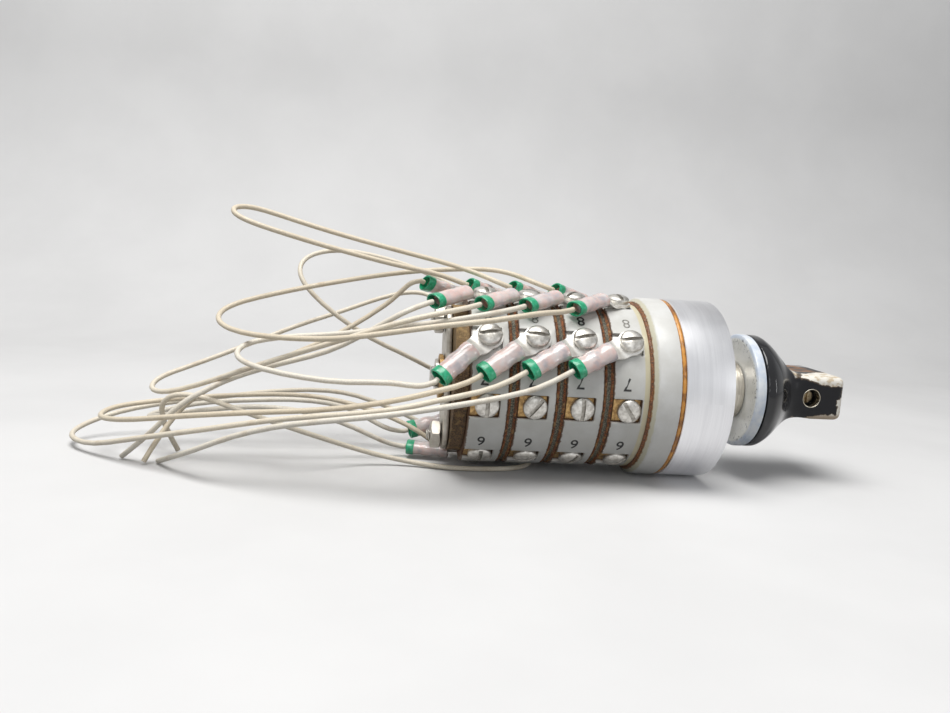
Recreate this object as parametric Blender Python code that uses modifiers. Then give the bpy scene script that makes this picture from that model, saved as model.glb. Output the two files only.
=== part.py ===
"""Four-deck rotary selector switch, lying on its side with its knob towards +X.

The switch is modelled upright, with its shaft along Z, and two empties lay it
down: 'assembly' carries everything turned round the shaft, and 'wiring' carries
the hook-up wires. Axial places are measured from the terminal screws of deck 1.
Angles go round the shaft: 0 is the near side (-Y), 90 is up. Units are metres.
"""
import math

import bmesh
import bpy
import numpy as np
from mathutils import Matrix, Vector
from mathutils.geometry import interpolate_bezier

MM = 0.001
GAP = 0.3 * MM                    # clearance between faces that meet

# Body
BODY_RADIUS = 22.2 * MM           # collar and front housing
SIDES = 40                        # facets of a large turned piece
DECK_SIDES = 32                   # facets of a deck, a spacer or the knob
SPACER_SIDES = 24                 # facets of a spacer
SMALL_SIDES = 16                  # facets of a small turned piece
HEAD_SIDES = 8                    # facets of a screw head, a barrel or a small hole

# Decks
DECK_COUNT = 4
DECK_PITCH = 10.92 * MM
DECK_REAR = 4.0 * MM              # moulding behind the terminal screws
DECK_FRONT = 4.7 * MM             # moulding in front of the terminal screws
DECK_RADIUS = 20.3 * MM
DECK_BORE = 11.6 * MM
EDGE_CHAMFER = 0.35 * MM
SPACER_STEP = 0.7 * MM            # spacers' rims inside the decks'
SPACER_BORE = 12.4 * MM

# Terminals
TERMINAL_COUNT = 8
TERMINAL_STEP = 360 / TERMINAL_COUNT
FIRST_TERMINAL_ANGLE = 82.0       # terminal 1, in degrees
LOW_TERMINAL = 5                  # nearly under the switch
POCKET_WIDTH = 5.8 * MM
POCKET_FRONT = 3.0 * MM           # pocket end, in front of the screw
POCKET_DEPTH = 1.2 * MM
PLATE_THICK = 0.8 * MM
PLATE_MARGIN = 0.35 * MM
PLATE_PROUD = 0.2 * MM            # plate above the pocket floor
CONTACT_RADIUS = 1.2 * MM
CONTACT_TIP = 10.9 * MM           # radius that the fixed contacts reach in to
CONTACT_ROOT = 1.0 * MM           # contact inside the moulding
HEAD_RADIUS = 2.8 * MM
HEAD_HEIGHT = 2.0 * MM
HEAD_LET_IN = 0.4 * MM
SHANK_RADIUS = 1.42 * MM
SHANK_LET_IN = 0.6 * MM           # shank into the terminal plate

# Crimp lugs
TONGUE_THICK = 0.7 * MM
TONGUE_WIDTH = 5.4 * MM
TONGUE_LET_IN = 0.15 * MM         # tongue into the rim or the plate under it
TONGUE_HEEL = 3.2 * MM            # tongue past the screw, away from the barrel
TONGUE_LAP = 0.8 * MM             # tongue inside the barrel
BARREL_WIDTH = 4.9 * MM           # flattened by the crimping tool
BARREL_THICK = 3.5 * MM
BARREL_START = 6.0 * MM           # from the screw's axis
BARREL_LENGTH = 10.6 * MM
BARREL_LIFT = 1.95 * MM           # barrel's axis above the deck's rim, where it starts
LOW_BARREL_DROP = 0.25 * MM       # the lug under the rear plate lies inside the rim
# Inward slope of the barrels, by terminal
BARREL_DIP = {8: 0.0, 1: 0.12, 2: 0.07, 3: 0.07, 4: 0.07, 5: 0.0}
# Lean of each lug from the shaft's direction, in degrees, by terminal and deck
LUG_LEAN = {
    8: (46, 39, 34, 31),
    1: (39, 39, 36, 38),
    2: (32, 32, 32, 32),
    3: (None, 32, 32, -32),
    4: (-18, -32, -32, -32),
    5: (10, None, None, None),
}

# Rear end
REAR_SPACER_THICK = 2.8 * MM
REAR_SPACER_STEP = 2.5 * MM       # its rim inside the decks', clear of the low lug
REAR_PLATE_THICK = 1.2 * MM
REAR_PLATE_WIDTH = 15.0 * MM
REAR_PLATE_REACH = 17.6 * MM      # from the shaft to the plate's rounded ends
BUSH_RADIUS = 4.6 * MM
BUSH_FLANGE_RADIUS = 5.6 * MM
BUSH_FLANGE_THICK = 0.9 * MM

# Tie rods
TIE_ANGLES = (-75.5, 104.5)
TIE_CIRCLE = 14.2 * MM
TIE_RADIUS = 1.42 * MM
TIE_TAIL = 0.9 * MM               # thread that stands out of each nut
TIE_DEPTH = 4.0 * MM              # thread held in the front housing
NUT_ACROSS = 6.35 * MM
NUT_THICK = 2.4 * MM

# Collar, seal and front housing
COLLAR_LENGTH = 6.4 * MM
COLLAR_CHAMFER = 1.1 * MM
SEAL_THICK = 0.5 * MM
SEAL_RECESS = 0.2 * MM            # seal's rim inside the collar's
SEAL_WIDTH = 5.0 * MM             # stays outside the tie rods
HOUSING_LENGTH = 11.7 * MM
HOUSING_CHAMFER = 0.5 * MM
HOUSING_WALL = 3.2 * MM           # front wall
CHAMBER_RADIUS = 12.0 * MM        # detent chamber

# Mounting bushing
BUSHING_RADIUS = 4.76 * MM
BUSHING_LENGTH = 5.6 * MM
BUSHING_CHAMFER = 0.5 * MM
BUSHING_SEAT = 1.4 * MM           # shoulder let into the housing's front wall
BUSHING_SHOULDER = 6.4 * MM

# Shaft
SHAFT_RADIUS = 3.175 * MM
JOURNAL_RADIUS = 2.5 * MM
SHAFT_FLAT = 2.3 * MM             # from the axis to the flat
RUNNING_GAP = 0.35 * MM
CLIP_THICK = 0.6 * MM
CLIP_RADIUS = 4.4 * MM
CLIP_MOUTH = 2.0 * MM
SHAFT_TAIL = 1.2 * MM             # shaft behind the retaining clip

# Rotors
ROTOR_RADIUS = 8.6 * MM
ROTOR_THICK = 4.6 * MM
ROTOR_RIM = 1.1 * MM
WIPER_WIDTH = 2.4 * MM
WIPER_THICK = 0.5 * MM
WIPER_REACH = 10.55 * MM
WIPER_ROOT = 5.2 * MM
SLEEVE_WALL = 1.3 * MM

# Detent and stop
WHEEL_RADIUS = 8.6 * MM
WHEEL_THICK = 2.8 * MM
NOTCH_RADIUS = 2.0 * MM
NOTCH_DEPTH = 0.9 * MM
BALL_RADIUS = 1.5875 * MM
BALL_ANGLES = (14.5, 194.5)
SPRING_WIRE = 0.3 * MM            # radius
SPRING_RADIUS = 1.2 * MM          # of the coil's centre line
SPRING_LENGTH = 5.2 * MM
SPRING_TURNS = 4
BALL_BORE = 1.95 * MM
STOP_THICK = 2.0 * MM
STOP_REACH = 11.3 * MM
STOP_HUB = 6.0 * MM
STOP_HALF_ANGLE = 16.0
STOP_PIN_RADIUS = 0.9 * MM
STOP_PIN_CIRCLE = 10.6 * MM
STOP_PIN_ANGLE = 60.0
TRAVEL_AHEAD = 180.0              # degrees that the knob turns on from its rest
TRAVEL_MARGIN = 22.5              # between the arm's and the pin's centre lines

# Knob
KNOB_STAND_OFF = 9.1 * MM         # housing's front face to the skirt
SKIRT_RADIUS = 14.3 * MM
SKIRT_THICK = 2.3 * MM
SKIRT_BEVEL = 0.5 * MM
INSERT_BOSS_RADIUS = 7.2 * MM
INSERT_BOSS_LENGTH = 3.0 * MM
KNOB_INSERT_RADIUS = 4.4 * MM
INSERT_END_WALL = 1.5 * MM
SHAFT_IN_KNOB = 19.0 * MM         # shaft past the skirt's back face
BASE_THICK = 1.9 * MM
CONE_TOP_RADIUS = 5.0 * MM
CONE_TOP = 12.2 * MM              # above the back of the base
CONE_BULGE = 0.75                 # 1 would be a straight cone
KNOB_HEIGHT = 23.3 * MM           # above the back of the base
BAR_THICK = 11.1 * MM
BAR_BLUNT = 8.0 * MM              # from the axis to the blunt end
POINT_INSET = 0.7 * MM            # bar's pointing end inside the skirt's rim
BAR_ROUND = 1.6 * MM
GRUB_HOLE = 2.15 * MM
GRUB_RADIUS = 1.8 * MM
GRUB_LENGTH = 2.6 * MM
GRUB_SLOT = 0.75 * MM
GRUB_HEIGHT = 14.6 * MM           # above the back of the base
INDEX_WIDTH = 1.6 * MM
INDEX_DEPTH = 0.6 * MM

# Hook-up wires
WIRE_RADIUS = 0.625 * MM
WIRE_LEAD = 4.0 * MM              # straight run out of a lug
WIRE_STEP = 1.0 * MM              # spacing along the smooth line
WIRE_EASING = 20                  # passes that round off tight corners
WIRE_TURN = 12.0                  # degrees between the points kept, at most
WIRE_RUN = 9.0 * MM               # length between the points kept, at most

# Route of each wire between its ends, in millimetres: along the shaft from the
# terminal screws of deck 1, away from the near side, and above the table. The first
# two entries are (terminal, deck) of the lugs that it joins, None for a bare end.
WIRE_ROUTES = (
    ((8, 1), (1, 3), (
        (-20, -27, 25), (-32.5, -24, 24), (-44.5, -20, 24.5), (-52.5, -16, 25.5),
        (-57, -12, 27), (-55.5, -8, 29), (-46, -7, 31), (-33.5, -9, 32.5), (-20, -14, 35.5),
        (-10.5, -18, 37.5), (-0.5, -20, 40))),
    ((8, 2), (4, 2), (
        (-11.5, -28.5, 24), (-19.5, -28, 21.5), (-34.5, -24, 18), (-52, -19, 15.5),
        (-67.5, -14, 13), (-82, -7, 10), (-90, 0, 9), (-88.5, 6, 10), (-78.5, 11, 11),
        (-65, 15, 12), (-45, 18, 12.5), (-33, 16, 11.5), (-20, 12, 8.5), (-11, 9.5, 4.5))),
    ((8, 3), (4, 3), (
        (-1.5, -27, 24), (-11.5, -29, 22), (-19.5, -30, 20), (-30, -28, 18),
        (-44.5, -24, 15.5), (-62.5, -18, 11), (-80, -9, 6), (-91.5, -1, 2.5), (-98.5, 6, 2.5),
        (-98, 13, 3.5), (-91, 18, 6), (-81, 21, 8), (-66.5, 23, 10), (-48, 24, 12.5),
        (-33.5, 24, 12.5), (-21, 23, 9), (-9.5, 20, 4.5), (-3, 18.5, 1.5), (1.5, 15, 0.7),
        (1.5, 11.5, 0.7))),
    ((8, 4), None, (
        (10, -27, 25), (1.5, -29, 23), (-7.5, -31, 21.5), (-19.5, -32.5, 19.5),
        (-32, -31.5, 17.5), (-44, -28, 15), (-55, -23, 11), (-64, -19, 6.5), (-74, -7.5, 0.7))),
    ((1, 4), (2, 4), (
        (11.5, -21, 41), (1, -23, 39), (-12, -23.5, 37), (-24.5, -22, 34.5), (-35, -19, 32.5),
        (-50, -12, 31.5), (-59.5, -5, 32), (-63.5, 0, 34), (-61, 4, 36.5), (-49.5, 8, 40),
        (-35, 10.5, 43.5), (-20, 12, 46.5), (-7.5, 13.5, 48), (5.5, 13.5, 48.5))),
    ((1, 2), (3, 2), (
        (-11.5, -19.5, 39.5), (-20.5, -20, 37), (-31, -18.5, 33), (-42, -13.5, 28.5),
        (-53.5, -11, 24), (-64.5, -5, 19), (-74.5, -1, 15.5), (-79.5, 3, 15.5),
        (-78.5, 6, 17.5), (-72, 9, 20), (-64.5, 12, 23), (-55, 16, 27), (-45.5, 20, 31),
        (-35.5, 24, 34.5), (-26.5, 27, 38), (-18.5, 28, 40.5), (-11.5, 28, 40.5))),
    ((1, 1), None, (
        (-20.5, -17, 38.5), (-27, -14, 34), (-35.5, -12.5, 29), (-47, -9.5, 25),
        (-58.5, -7, 20.5), (-68.5, -9, 15), (-75.5, -8, 7.5), (-83, -4.5, 0.7))),
    ((2, 2), (2, 3), (
        (-10.5, 4.5, 47), (-20.5, 3, 48.5), (-37.5, 1, 52), (-51.5, -1, 55.5), (-59.5, 0, 58),
        (-61, 4, 60), (-57, 8, 60.5), (-49, 9, 58.5), (-37, 9, 55.5), (-20.5, 9, 52),
        (-8, 9, 49.5), (1, 8.5, 47))),
    ((3, 3), (3, 4), (
        (-0.5, 27, 40.5), (-8.5, 29, 44.5), (-20, 29, 48.5), (-36.5, 27, 51),
        (-45.5, 23, 48.5), (-46.5, 19, 44.5), (-43, 17, 40), (-36.5, 17, 34.5),
        (-27, 18, 28.5), (-16, 21, 23.5), (-7.5, 25, 19), (1, 28, 19), (6, 27.5, 14.5),
        (11, 25, 12))),
    ((5, 1), (4, 1), (
        (-22, 4, 4), (-31, 2, 8.5), (-41.5, 0, 12), (-54.5, -1, 13), (-66, -1, 11.5),
        (-76, 1, 9.5), (-80.5, 5, 8), (-79, 9, 8.5), (-68.5, 10, 11), (-56.5, 11, 12),
        (-43, 11.5, 12.5), (-31.5, 13, 10.5))),
    ((2, 1), None, (
        (-20, 6, 41.5), (-27, 5, 36), (-36.5, 3, 30), (-47, 1, 25), (-58.5, -1, 20),
        (-68, -2, 14.5), (-73.5, -5, 7.5), (-77, -8.5, 0.7))),
    ((4, 4), None, (
        (15.5, 7, 0.7), (15.5, 2.5, 0.7), (13, -2.5, 0.7), (8.5, -5, 0.7), (0, -6, 0.7),
        (-8, -5.5, 0.7), (-15, -3, 1), (-25.5, -3, 3), (-35, -6, 6.5), (-44, -9, 10),
        (-56, -8, 13.5), (-65, -6, 16), (-72, -4, 16), (-75, -3, 14), (-74.5, -1, 8),
        (-72, 2.5, 0.7))),
)

# Radii worked out from the sizes above
POCKET_FLOOR = DECK_RADIUS - POCKET_DEPTH
PLATE_FACE = POCKET_FLOOR + PLATE_PROUD
SPACER_RADIUS = DECK_RADIUS - SPACER_STEP
REAR_SPACER_RADIUS = DECK_RADIUS - REAR_SPACER_STEP
BAR_POINT = SKIRT_RADIUS - POINT_INSET      # from the axis to the bar's pointing end

# Axial places, worked out from the sizes above
STACK_FRONT = (DECK_COUNT - 1) * DECK_PITCH + DECK_FRONT
COLLAR_REAR = STACK_FRONT + GAP
SEAL_REAR = COLLAR_REAR + COLLAR_LENGTH + GAP
HOUSING_REAR = SEAL_REAR + SEAL_THICK + GAP
HOUSING_FRONT = HOUSING_REAR + HOUSING_LENGTH
CHAMBER_FRONT = HOUSING_FRONT - HOUSING_WALL
REAR_SPACER_REAR = -DECK_REAR - GAP - REAR_SPACER_THICK
REAR_PLATE_FRONT = REAR_SPACER_REAR - GAP
REAR_PLATE_REAR = REAR_PLATE_FRONT - REAR_PLATE_THICK
NUT_REAR = REAR_PLATE_REAR - GAP - NUT_THICK
BUSH_REAR = REAR_PLATE_REAR - GAP - BUSH_FLANGE_THICK
CLIP_REAR = BUSH_REAR - GAP - CLIP_THICK
SHAFT_REAR = CLIP_REAR - SHAFT_TAIL
JOURNAL_FRONT = REAR_SPACER_REAR + REAR_SPACER_THICK
SKIRT_REAR = HOUSING_FRONT + KNOB_STAND_OFF
SHAFT_FRONT = SKIRT_REAR + SHAFT_IN_KNOB
BASE_REAR = SKIRT_REAR + SKIRT_THICK + GAP
BORE_RADIUS = SHAFT_RADIUS + RUNNING_GAP
WHEEL_FRONT = CHAMBER_FRONT - GAP
WHEEL_MIDDLE = WHEEL_FRONT - WHEEL_THICK / 2
STOP_FRONT = WHEEL_FRONT - WHEEL_THICK - 2 * GAP
BALL_CENTRE = WHEEL_RADIUS + GAP + BALL_RADIUS
AXIS_HEIGHT = BODY_RADIUS * math.cos(math.pi / SIDES)    # it stands on a facet


def clear_scene():
    """Remove whatever the file starts with."""
    for item in list(bpy.data.objects):
        bpy.data.objects.remove(item, do_unlink=True)


clear_scene()
PARTS = bpy.data.collections.new("rotary_switch")
CUTTERS = bpy.data.collections.new("cutters")
for group in (PARTS, CUTTERS):
    bpy.context.scene.collection.children.link(group)


def empty(name):
    item = bpy.data.objects.new(name, None)
    PARTS.objects.link(item)
    return item


ASSEMBLY = empty("assembly")
ASSEMBLY.rotation_euler = (0, math.pi / 2, 0)
WIRING = empty("wiring")


def material(name, colour, roughness, metallic=0.0):
    item = bpy.data.materials.new(name)
    item.use_nodes = True
    shader = item.node_tree.nodes["Principled BSDF"]
    shader.inputs["Base Color"].default_value = (*colour, 1.0)
    shader.inputs["Roughness"].default_value = roughness
    shader.inputs["Metallic"].default_value = metallic
    item.diffuse_color = (*colour, 1.0)
    return item


MOULDING = material("deck_moulding", (0.72, 0.71, 0.68), 0.45)
LAMINATE = material("spacer_laminate", (0.24, 0.13, 0.08), 0.7)
STEEL = material("plated_steel", (0.62, 0.61, 0.58), 0.35, 1.0)
BRASS = material("brass", (0.66, 0.5, 0.27), 0.35, 1.0)
COLLAR_PAINT = material("collar_paint", (0.74, 0.74, 0.72), 0.35)
SEAL_RUBBER = material("seal_rubber", (0.42, 0.2, 0.08), 0.7)
ALUMINIUM = material("turned_aluminium", (0.72, 0.72, 0.72), 0.3, 1.0)
BLACK_PAINT = material("black_paint", (0.045, 0.045, 0.05), 0.45)
SKIRT_PLASTIC = material("skirt_plastic", (0.8, 0.82, 0.82), 0.25)
INDEX_FILL = material("index_fill", (0.78, 0.6, 0.42), 0.5)
ROTOR_PLASTIC = material("rotor_plastic", (0.12, 0.1, 0.09), 0.5)
WIRE_COAT = material("wire_coat", (0.8, 0.74, 0.62), 0.45)


def place(item, look=None, parent=None, collection=None):
    """Link an object, give it its material and hang it on its empty."""
    (collection or PARTS).objects.link(item)
    item.parent = parent or ASSEMBLY
    if look is not None:
        item.data.materials.append(look)
    return item


def as_cutter(item):
    """Keep a helper solid out of the render and out of the part."""
    item.hide_render = True
    item.display_type = "WIRE"
    return item


def direction(degrees):
    """Unit vector square to the shaft, at an angle round it."""
    angle = math.radians(degrees)
    return Vector((-math.sin(angle), -math.cos(angle), 0))


def turned(name, profile, look, sides=SIDES, at=(0, 0, 0), closed=True):
    """Turn a profile of (radius, height) points, outer side from the top down."""
    half_step = math.pi / sides
    points = [(r * math.cos(half_step), r * math.sin(half_step), z) for r, z in profile]
    count = len(points)
    edges = [(i, i + 1) for i in range(count - 1)]
    if closed:
        edges.append((count - 1, 0))
    mesh = bpy.data.meshes.new(name)
    mesh.from_pydata(points, edges, [])
    item = bpy.data.objects.new(name, mesh)
    item.location = at
    screw = item.modifiers.new("turn", "SCREW")
    screw.steps = screw.render_steps = sides
    screw.use_merge_vertices = True
    screw.merge_threshold = 0.00001
    return place(item, look)


def tube(name, outer, inner, rear, front, look, chamfer=0.0, sides=SIDES):
    """A plain turned ring with chamfered outer edges."""
    profile = [(inner, front), (outer - chamfer, front), (outer, front - chamfer),
               (outer, rear + chamfer), (outer - chamfer, rear), (inner, rear)]
    if chamfer == 0:
        profile = [(inner, front), (outer, front), (outer, rear), (inner, rear)]
    return turned(name, profile, look, sides)


def helper_solid(name, build):
    """A helper made of several closed shells that don't touch each other."""
    mesh = bpy.data.meshes.new(name)
    shells = bmesh.new()
    build(shells)
    shells.to_mesh(mesh)
    shells.free()
    return as_cutter(place(bpy.data.objects.new(name, mesh), collection=CUTTERS))


def add_box(shells, size, matrix):
    bmesh.ops.create_cube(shells, size=1, matrix=matrix @ Matrix.Diagonal((*size, 1)))


def add_rod(shells, radius, length, matrix, sides=SMALL_SIDES, top_radius=None):
    """A cylinder or cone centred on the matrix, along its Z."""
    bmesh.ops.create_cone(shells, cap_ends=True, segments=sides, radius1=radius,
                          radius2=radius if top_radius is None else top_radius,
                          depth=length, matrix=matrix)


def frame_at(origin, along, side):
    """Matrix with Z along one direction and X along another, square to it."""
    z = along.normalized()
    x = (side - side.dot(z) * z).normalized()
    y = z.cross(x)
    turn = Matrix((x, y, z)).transposed().to_4x4()
    return Matrix.Translation(origin) @ turn


def combine(item, helper, operation="DIFFERENCE"):
    step = item.modifiers.new(helper.name, "BOOLEAN")
    step.operation = operation
    step.object = helper
    step.solver = "EXACT"
    return item


def axial_frame(degrees, radius, height):
    """Frame on a circle round the shaft: Z along the shaft, X outwards."""
    outward = direction(degrees)
    return frame_at(outward * radius + Vector((0, 0, height)), Vector((0, 0, 1)), outward)


def radial_frame(degrees, radius, height):
    """Frame on a circle round the shaft: Z outwards, X along the shaft."""
    outward = direction(degrees)
    return frame_at(outward * radius + Vector((0, 0, height)), outward, Vector((0, 0, 1)))


# Terminals

def terminal_angle(number):
    return FIRST_TERMINAL_ANGLE + (number - 1) * TERMINAL_STEP


def deck_height(deck):
    return (deck - 1) * DECK_PITCH


def has_lug(number, deck):
    return number in LUG_LEAN and LUG_LEAN[number][deck - 1] is not None


def lug_line(number, deck):
    """Start, end and direction of a lug's barrel, with the shaft along Z."""
    outward = direction(terminal_angle(number))
    lean = math.radians(LUG_LEAN[number][deck - 1])
    sideways = -direction(terminal_angle(number) + 90)
    flat = Vector((0, 0, -math.cos(lean))) + sideways * math.sin(lean)
    along = (flat - outward * BARREL_DIP[number]).normalized()
    low = number == LOW_TERMINAL
    height = DECK_RADIUS + (-LOW_BARREL_DROP if low else BARREL_LIFT)
    base = outward * height + Vector((0, 0, deck_height(deck)))
    start = base + flat * BARREL_START
    return start, start + along * BARREL_LENGTH, along


def head_base(number, deck):
    """Radius of the face that a screw's head bears on."""
    if not has_lug(number, deck):
        return PLATE_FACE
    seat = PLATE_FACE if number == LOW_TERMINAL else DECK_RADIUS
    return seat + TONGUE_THICK


def pocket_cuts(shells):
    length = DECK_REAR + POCKET_FRONT + GAP
    for number in range(1, TERMINAL_COUNT + 1):
        depth = DECK_RADIUS - POCKET_FLOOR + GAP
        middle = POCKET_FLOOR + depth / 2
        frame = radial_frame(terminal_angle(number), middle, POCKET_FRONT - length / 2)
        add_box(shells, (length, POCKET_WIDTH, depth), frame)


def terminal_plates(shells):
    length = DECK_REAR + POCKET_FRONT - 2 * PLATE_MARGIN
    width = POCKET_WIDTH - 2 * PLATE_MARGIN
    for number in range(1, TERMINAL_COUNT + 1):
        middle = PLATE_FACE - PLATE_THICK / 2
        height = POCKET_FRONT - PLATE_MARGIN - length / 2
        frame = radial_frame(terminal_angle(number), middle, height)
        add_box(shells, (length, width, PLATE_THICK), frame)


def spin(shells, profile, frame, sides):
    """Add a solid turned round a frame's Z from (radius, height) points."""
    rings = []
    for radius, height in profile:
        if radius == 0:
            rings.append([shells.verts.new(frame @ Vector((0, 0, height)))])
            continue
        ring = []
        for i in range(sides):
            angle = 2 * math.pi * i / sides
            spot = Vector((radius * math.cos(angle), radius * math.sin(angle), height))
            ring.append(shells.verts.new(frame @ spot))
        rings.append(ring)
    for low, high in zip(rings, rings[1:]):
        for i in range(sides):
            j = (i + 1) % sides
            corners = [low[i % len(low)], low[j % len(low)],
                       high[j % len(high)], high[i % len(high)]]
            shells.faces.new(list(dict.fromkeys(corners)))


def fixed_contacts(shells):
    """Contact studs that reach through the moulding into the deck's bore."""
    length = DECK_BORE + CONTACT_ROOT - CONTACT_TIP
    for number in range(1, TERMINAL_COUNT + 1):
        frame = radial_frame(terminal_angle(number), CONTACT_TIP + length / 2, 0)
        add_rod(shells, CONTACT_RADIUS, length, frame, 6)


def screw_heads(deck):
    """Pan heads let a little into what they clamp, and their shanks below them."""
    def build(shells):
        for number in range(1, TERMINAL_COUNT + 1):
            base = head_base(number, deck)
            foot = PLATE_FACE - SHANK_LET_IN
            profile = [(0, foot), (SHANK_RADIUS, foot), (SHANK_RADIUS, base - HEAD_LET_IN),
                       (HEAD_RADIUS, base - HEAD_LET_IN),
                       (HEAD_RADIUS, base + 0.45 * HEAD_HEIGHT),
                       (HEAD_RADIUS * 0.6, base + HEAD_HEIGHT), (0, base + HEAD_HEIGHT)]
            spin(shells, profile, radial_frame(terminal_angle(number), 0, 0), HEAD_SIDES)
    return build


def deck_lugs(deck):
    return [number for number in LUG_LEAN if has_lug(number, deck)]


def lug_tongues(deck):
    """Flat tongues from under the screw heads to the barrels."""
    def build(shells):
        for number in deck_lugs(deck):
            start, _, along = lug_line(number, deck)
            start = start - Vector((0, 0, deck_height(deck)))
            outward = direction(terminal_angle(number))
            foot = outward * (head_base(number, deck) - TONGUE_LET_IN - TONGUE_THICK / 2)
            foot -= (along - along.dot(outward) * outward) * TONGUE_HEEL
            span = start + along * TONGUE_LAP - foot
            add_box(shells, (TONGUE_THICK, TONGUE_WIDTH, span.length),
                    frame_at(foot + span / 2, span, outward))
    return build


def lug_barrels(deck):
    def build(shells):
        for number in deck_lugs(deck):
            start, end, along = lug_line(number, deck)
            middle = (start + end) / 2 - Vector((0, 0, deck_height(deck)))
            outward = direction(terminal_angle(number))
            oval = Matrix.Diagonal((BARREL_THICK / BARREL_WIDTH, 1, 1, 1))
            frame = frame_at(middle, along, outward) @ oval
            add_rod(shells, BARREL_WIDTH / 2, BARREL_LENGTH, frame, HEAD_SIDES)
    return build


def tie_holes(rear, front):
    """Clearance holes for the tie rods between two heights."""
    def build(shells):
        for degrees in TIE_ANGLES:
            frame = axial_frame(degrees, TIE_CIRCLE, (rear + front) / 2)
            add_rod(shells, TIE_RADIUS + GAP, front - rear, frame, HEAD_SIDES)
    return build


def drill_for_ties(item, rear, front, name):
    holes = helper_solid(name, tie_holes(rear - GAP, front + GAP))
    holes.location = item.location
    return combine(item, holes)


# Fixed pieces

def make_deck(deck):
    """Moulded deck with its eight terminals, screws and crimp lugs."""
    lift = (0, 0, deck_height(deck))
    chamfer = EDGE_CHAMFER
    profile = [(DECK_BORE, DECK_FRONT), (DECK_RADIUS - chamfer, DECK_FRONT),
               (DECK_RADIUS, DECK_FRONT - chamfer), (DECK_RADIUS, -DECK_REAR),
               (DECK_BORE, -DECK_REAR)]
    body = turned(f"deck_{deck}", profile, MOULDING, DECK_SIDES, at=lift)
    drill_for_ties(body, -DECK_REAR, DECK_FRONT, f"deck_{deck}_tie_holes")
    steps = [("pockets", pocket_cuts, "DIFFERENCE"), ("plates", terminal_plates, "UNION"),
             ("contacts", fixed_contacts, "UNION"), ("tongues", lug_tongues(deck), "UNION"),
             ("heads", screw_heads(deck), "UNION"), ("barrels", lug_barrels(deck), "UNION")]
    for label, build, operation in steps:
        helper = helper_solid(f"deck_{deck}_{label}", build)
        helper.location = lift
        combine(body, helper, operation)


def make_spacers():
    """Laminated discs between the decks, and the thicker one behind them."""
    for deck in range(1, DECK_COUNT):
        rear = deck_height(deck) + DECK_FRONT + GAP
        front = deck_height(deck + 1) - DECK_REAR - GAP
        name = f"deck_spacer_{deck}"
        disc = tube(name, SPACER_RADIUS, SPACER_BORE, rear, front, LAMINATE, sides=SPACER_SIDES)
        drill_for_ties(disc, rear, front, name + "_tie_holes")
    front = REAR_SPACER_REAR + REAR_SPACER_THICK
    bore = BUSH_RADIUS + GAP
    disc = tube("rear_spacer", REAR_SPACER_RADIUS, bore, REAR_SPACER_REAR, front, LAMINATE,
                sides=SPACER_SIDES)
    drill_for_ties(disc, REAR_SPACER_REAR, front, "rear_spacer_tie_holes")


def make_rear_plate():
    """Strap across the back, with round ends that carry the tie nuts."""
    half = REAR_PLATE_WIDTH / 2
    reach = REAR_PLATE_REACH - half
    along = direction(TIE_ANGLES[1])
    across = Vector((0, 0, 1)).cross(along)
    outline = []
    for end in (0, 1):
        centre = along * reach * (1 - 2 * end)
        for i in range(9):
            angle = math.pi * (i / 8 + end) - math.pi / 2
            outline.append(centre + half * (along * math.cos(angle) + across * math.sin(angle)))
    curve = bpy.data.curves.new("rear_plate", "CURVE")
    curve.dimensions = "2D"
    curve.fill_mode = "BOTH"
    curve.extrude = REAR_PLATE_THICK / 2
    spline = curve.splines.new("POLY")
    spline.points.add(len(outline) - 1)
    for point, spot in zip(spline.points, outline):
        point.co = (spot.x, spot.y, 0, 1)
    spline.use_cyclic_u = True
    source = bpy.data.objects.new("rear_plate_outline", curve)
    PARTS.objects.link(source)
    plate = mesh_of(source, "rear_plate", STEEL)
    plate.location = (0, 0, REAR_PLATE_REAR + REAR_PLATE_THICK / 2)
    drill_for_ties(plate, -REAR_PLATE_THICK, REAR_PLATE_THICK, "rear_plate_tie_holes")
    bore = helper_solid("rear_plate_bore", lambda shells: add_rod(
        shells, BUSH_RADIUS + GAP, 3 * REAR_PLATE_THICK, Matrix.Identity(4)))
    bore.location = plate.location
    combine(plate, bore)


def mesh_of(source, name, look, parent=None):
    """Turn a curve object into a welded mesh object and remove the curve."""
    bpy.context.view_layer.update()
    evaluated = source.evaluated_get(bpy.context.evaluated_depsgraph_get())
    mesh = bpy.data.meshes.new_from_object(evaluated)
    mesh.name = name
    mesh.materials.clear()
    weld = bmesh.new()
    weld.from_mesh(mesh)
    bmesh.ops.remove_doubles(weld, verts=weld.verts, dist=0.000001)
    weld.to_mesh(mesh)
    weld.free()
    item = bpy.data.objects.new(name, mesh)
    item.matrix_world = source.matrix_world
    bpy.data.objects.remove(source, do_unlink=True)
    return place(item, look, parent)


def make_rear_bush():
    """Flanged bearing bush that carries the shaft's rear journal."""
    inner = JOURNAL_RADIUS + RUNNING_GAP
    flange_front = REAR_PLATE_REAR - GAP
    front = REAR_SPACER_REAR + REAR_SPACER_THICK
    profile = [(inner, front), (BUSH_RADIUS, front), (BUSH_RADIUS, flange_front),
               (BUSH_FLANGE_RADIUS, flange_front), (BUSH_FLANGE_RADIUS, BUSH_REAR),
               (inner, BUSH_REAR)]
    turned("rear_bush", profile, BRASS, SMALL_SIDES)


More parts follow.
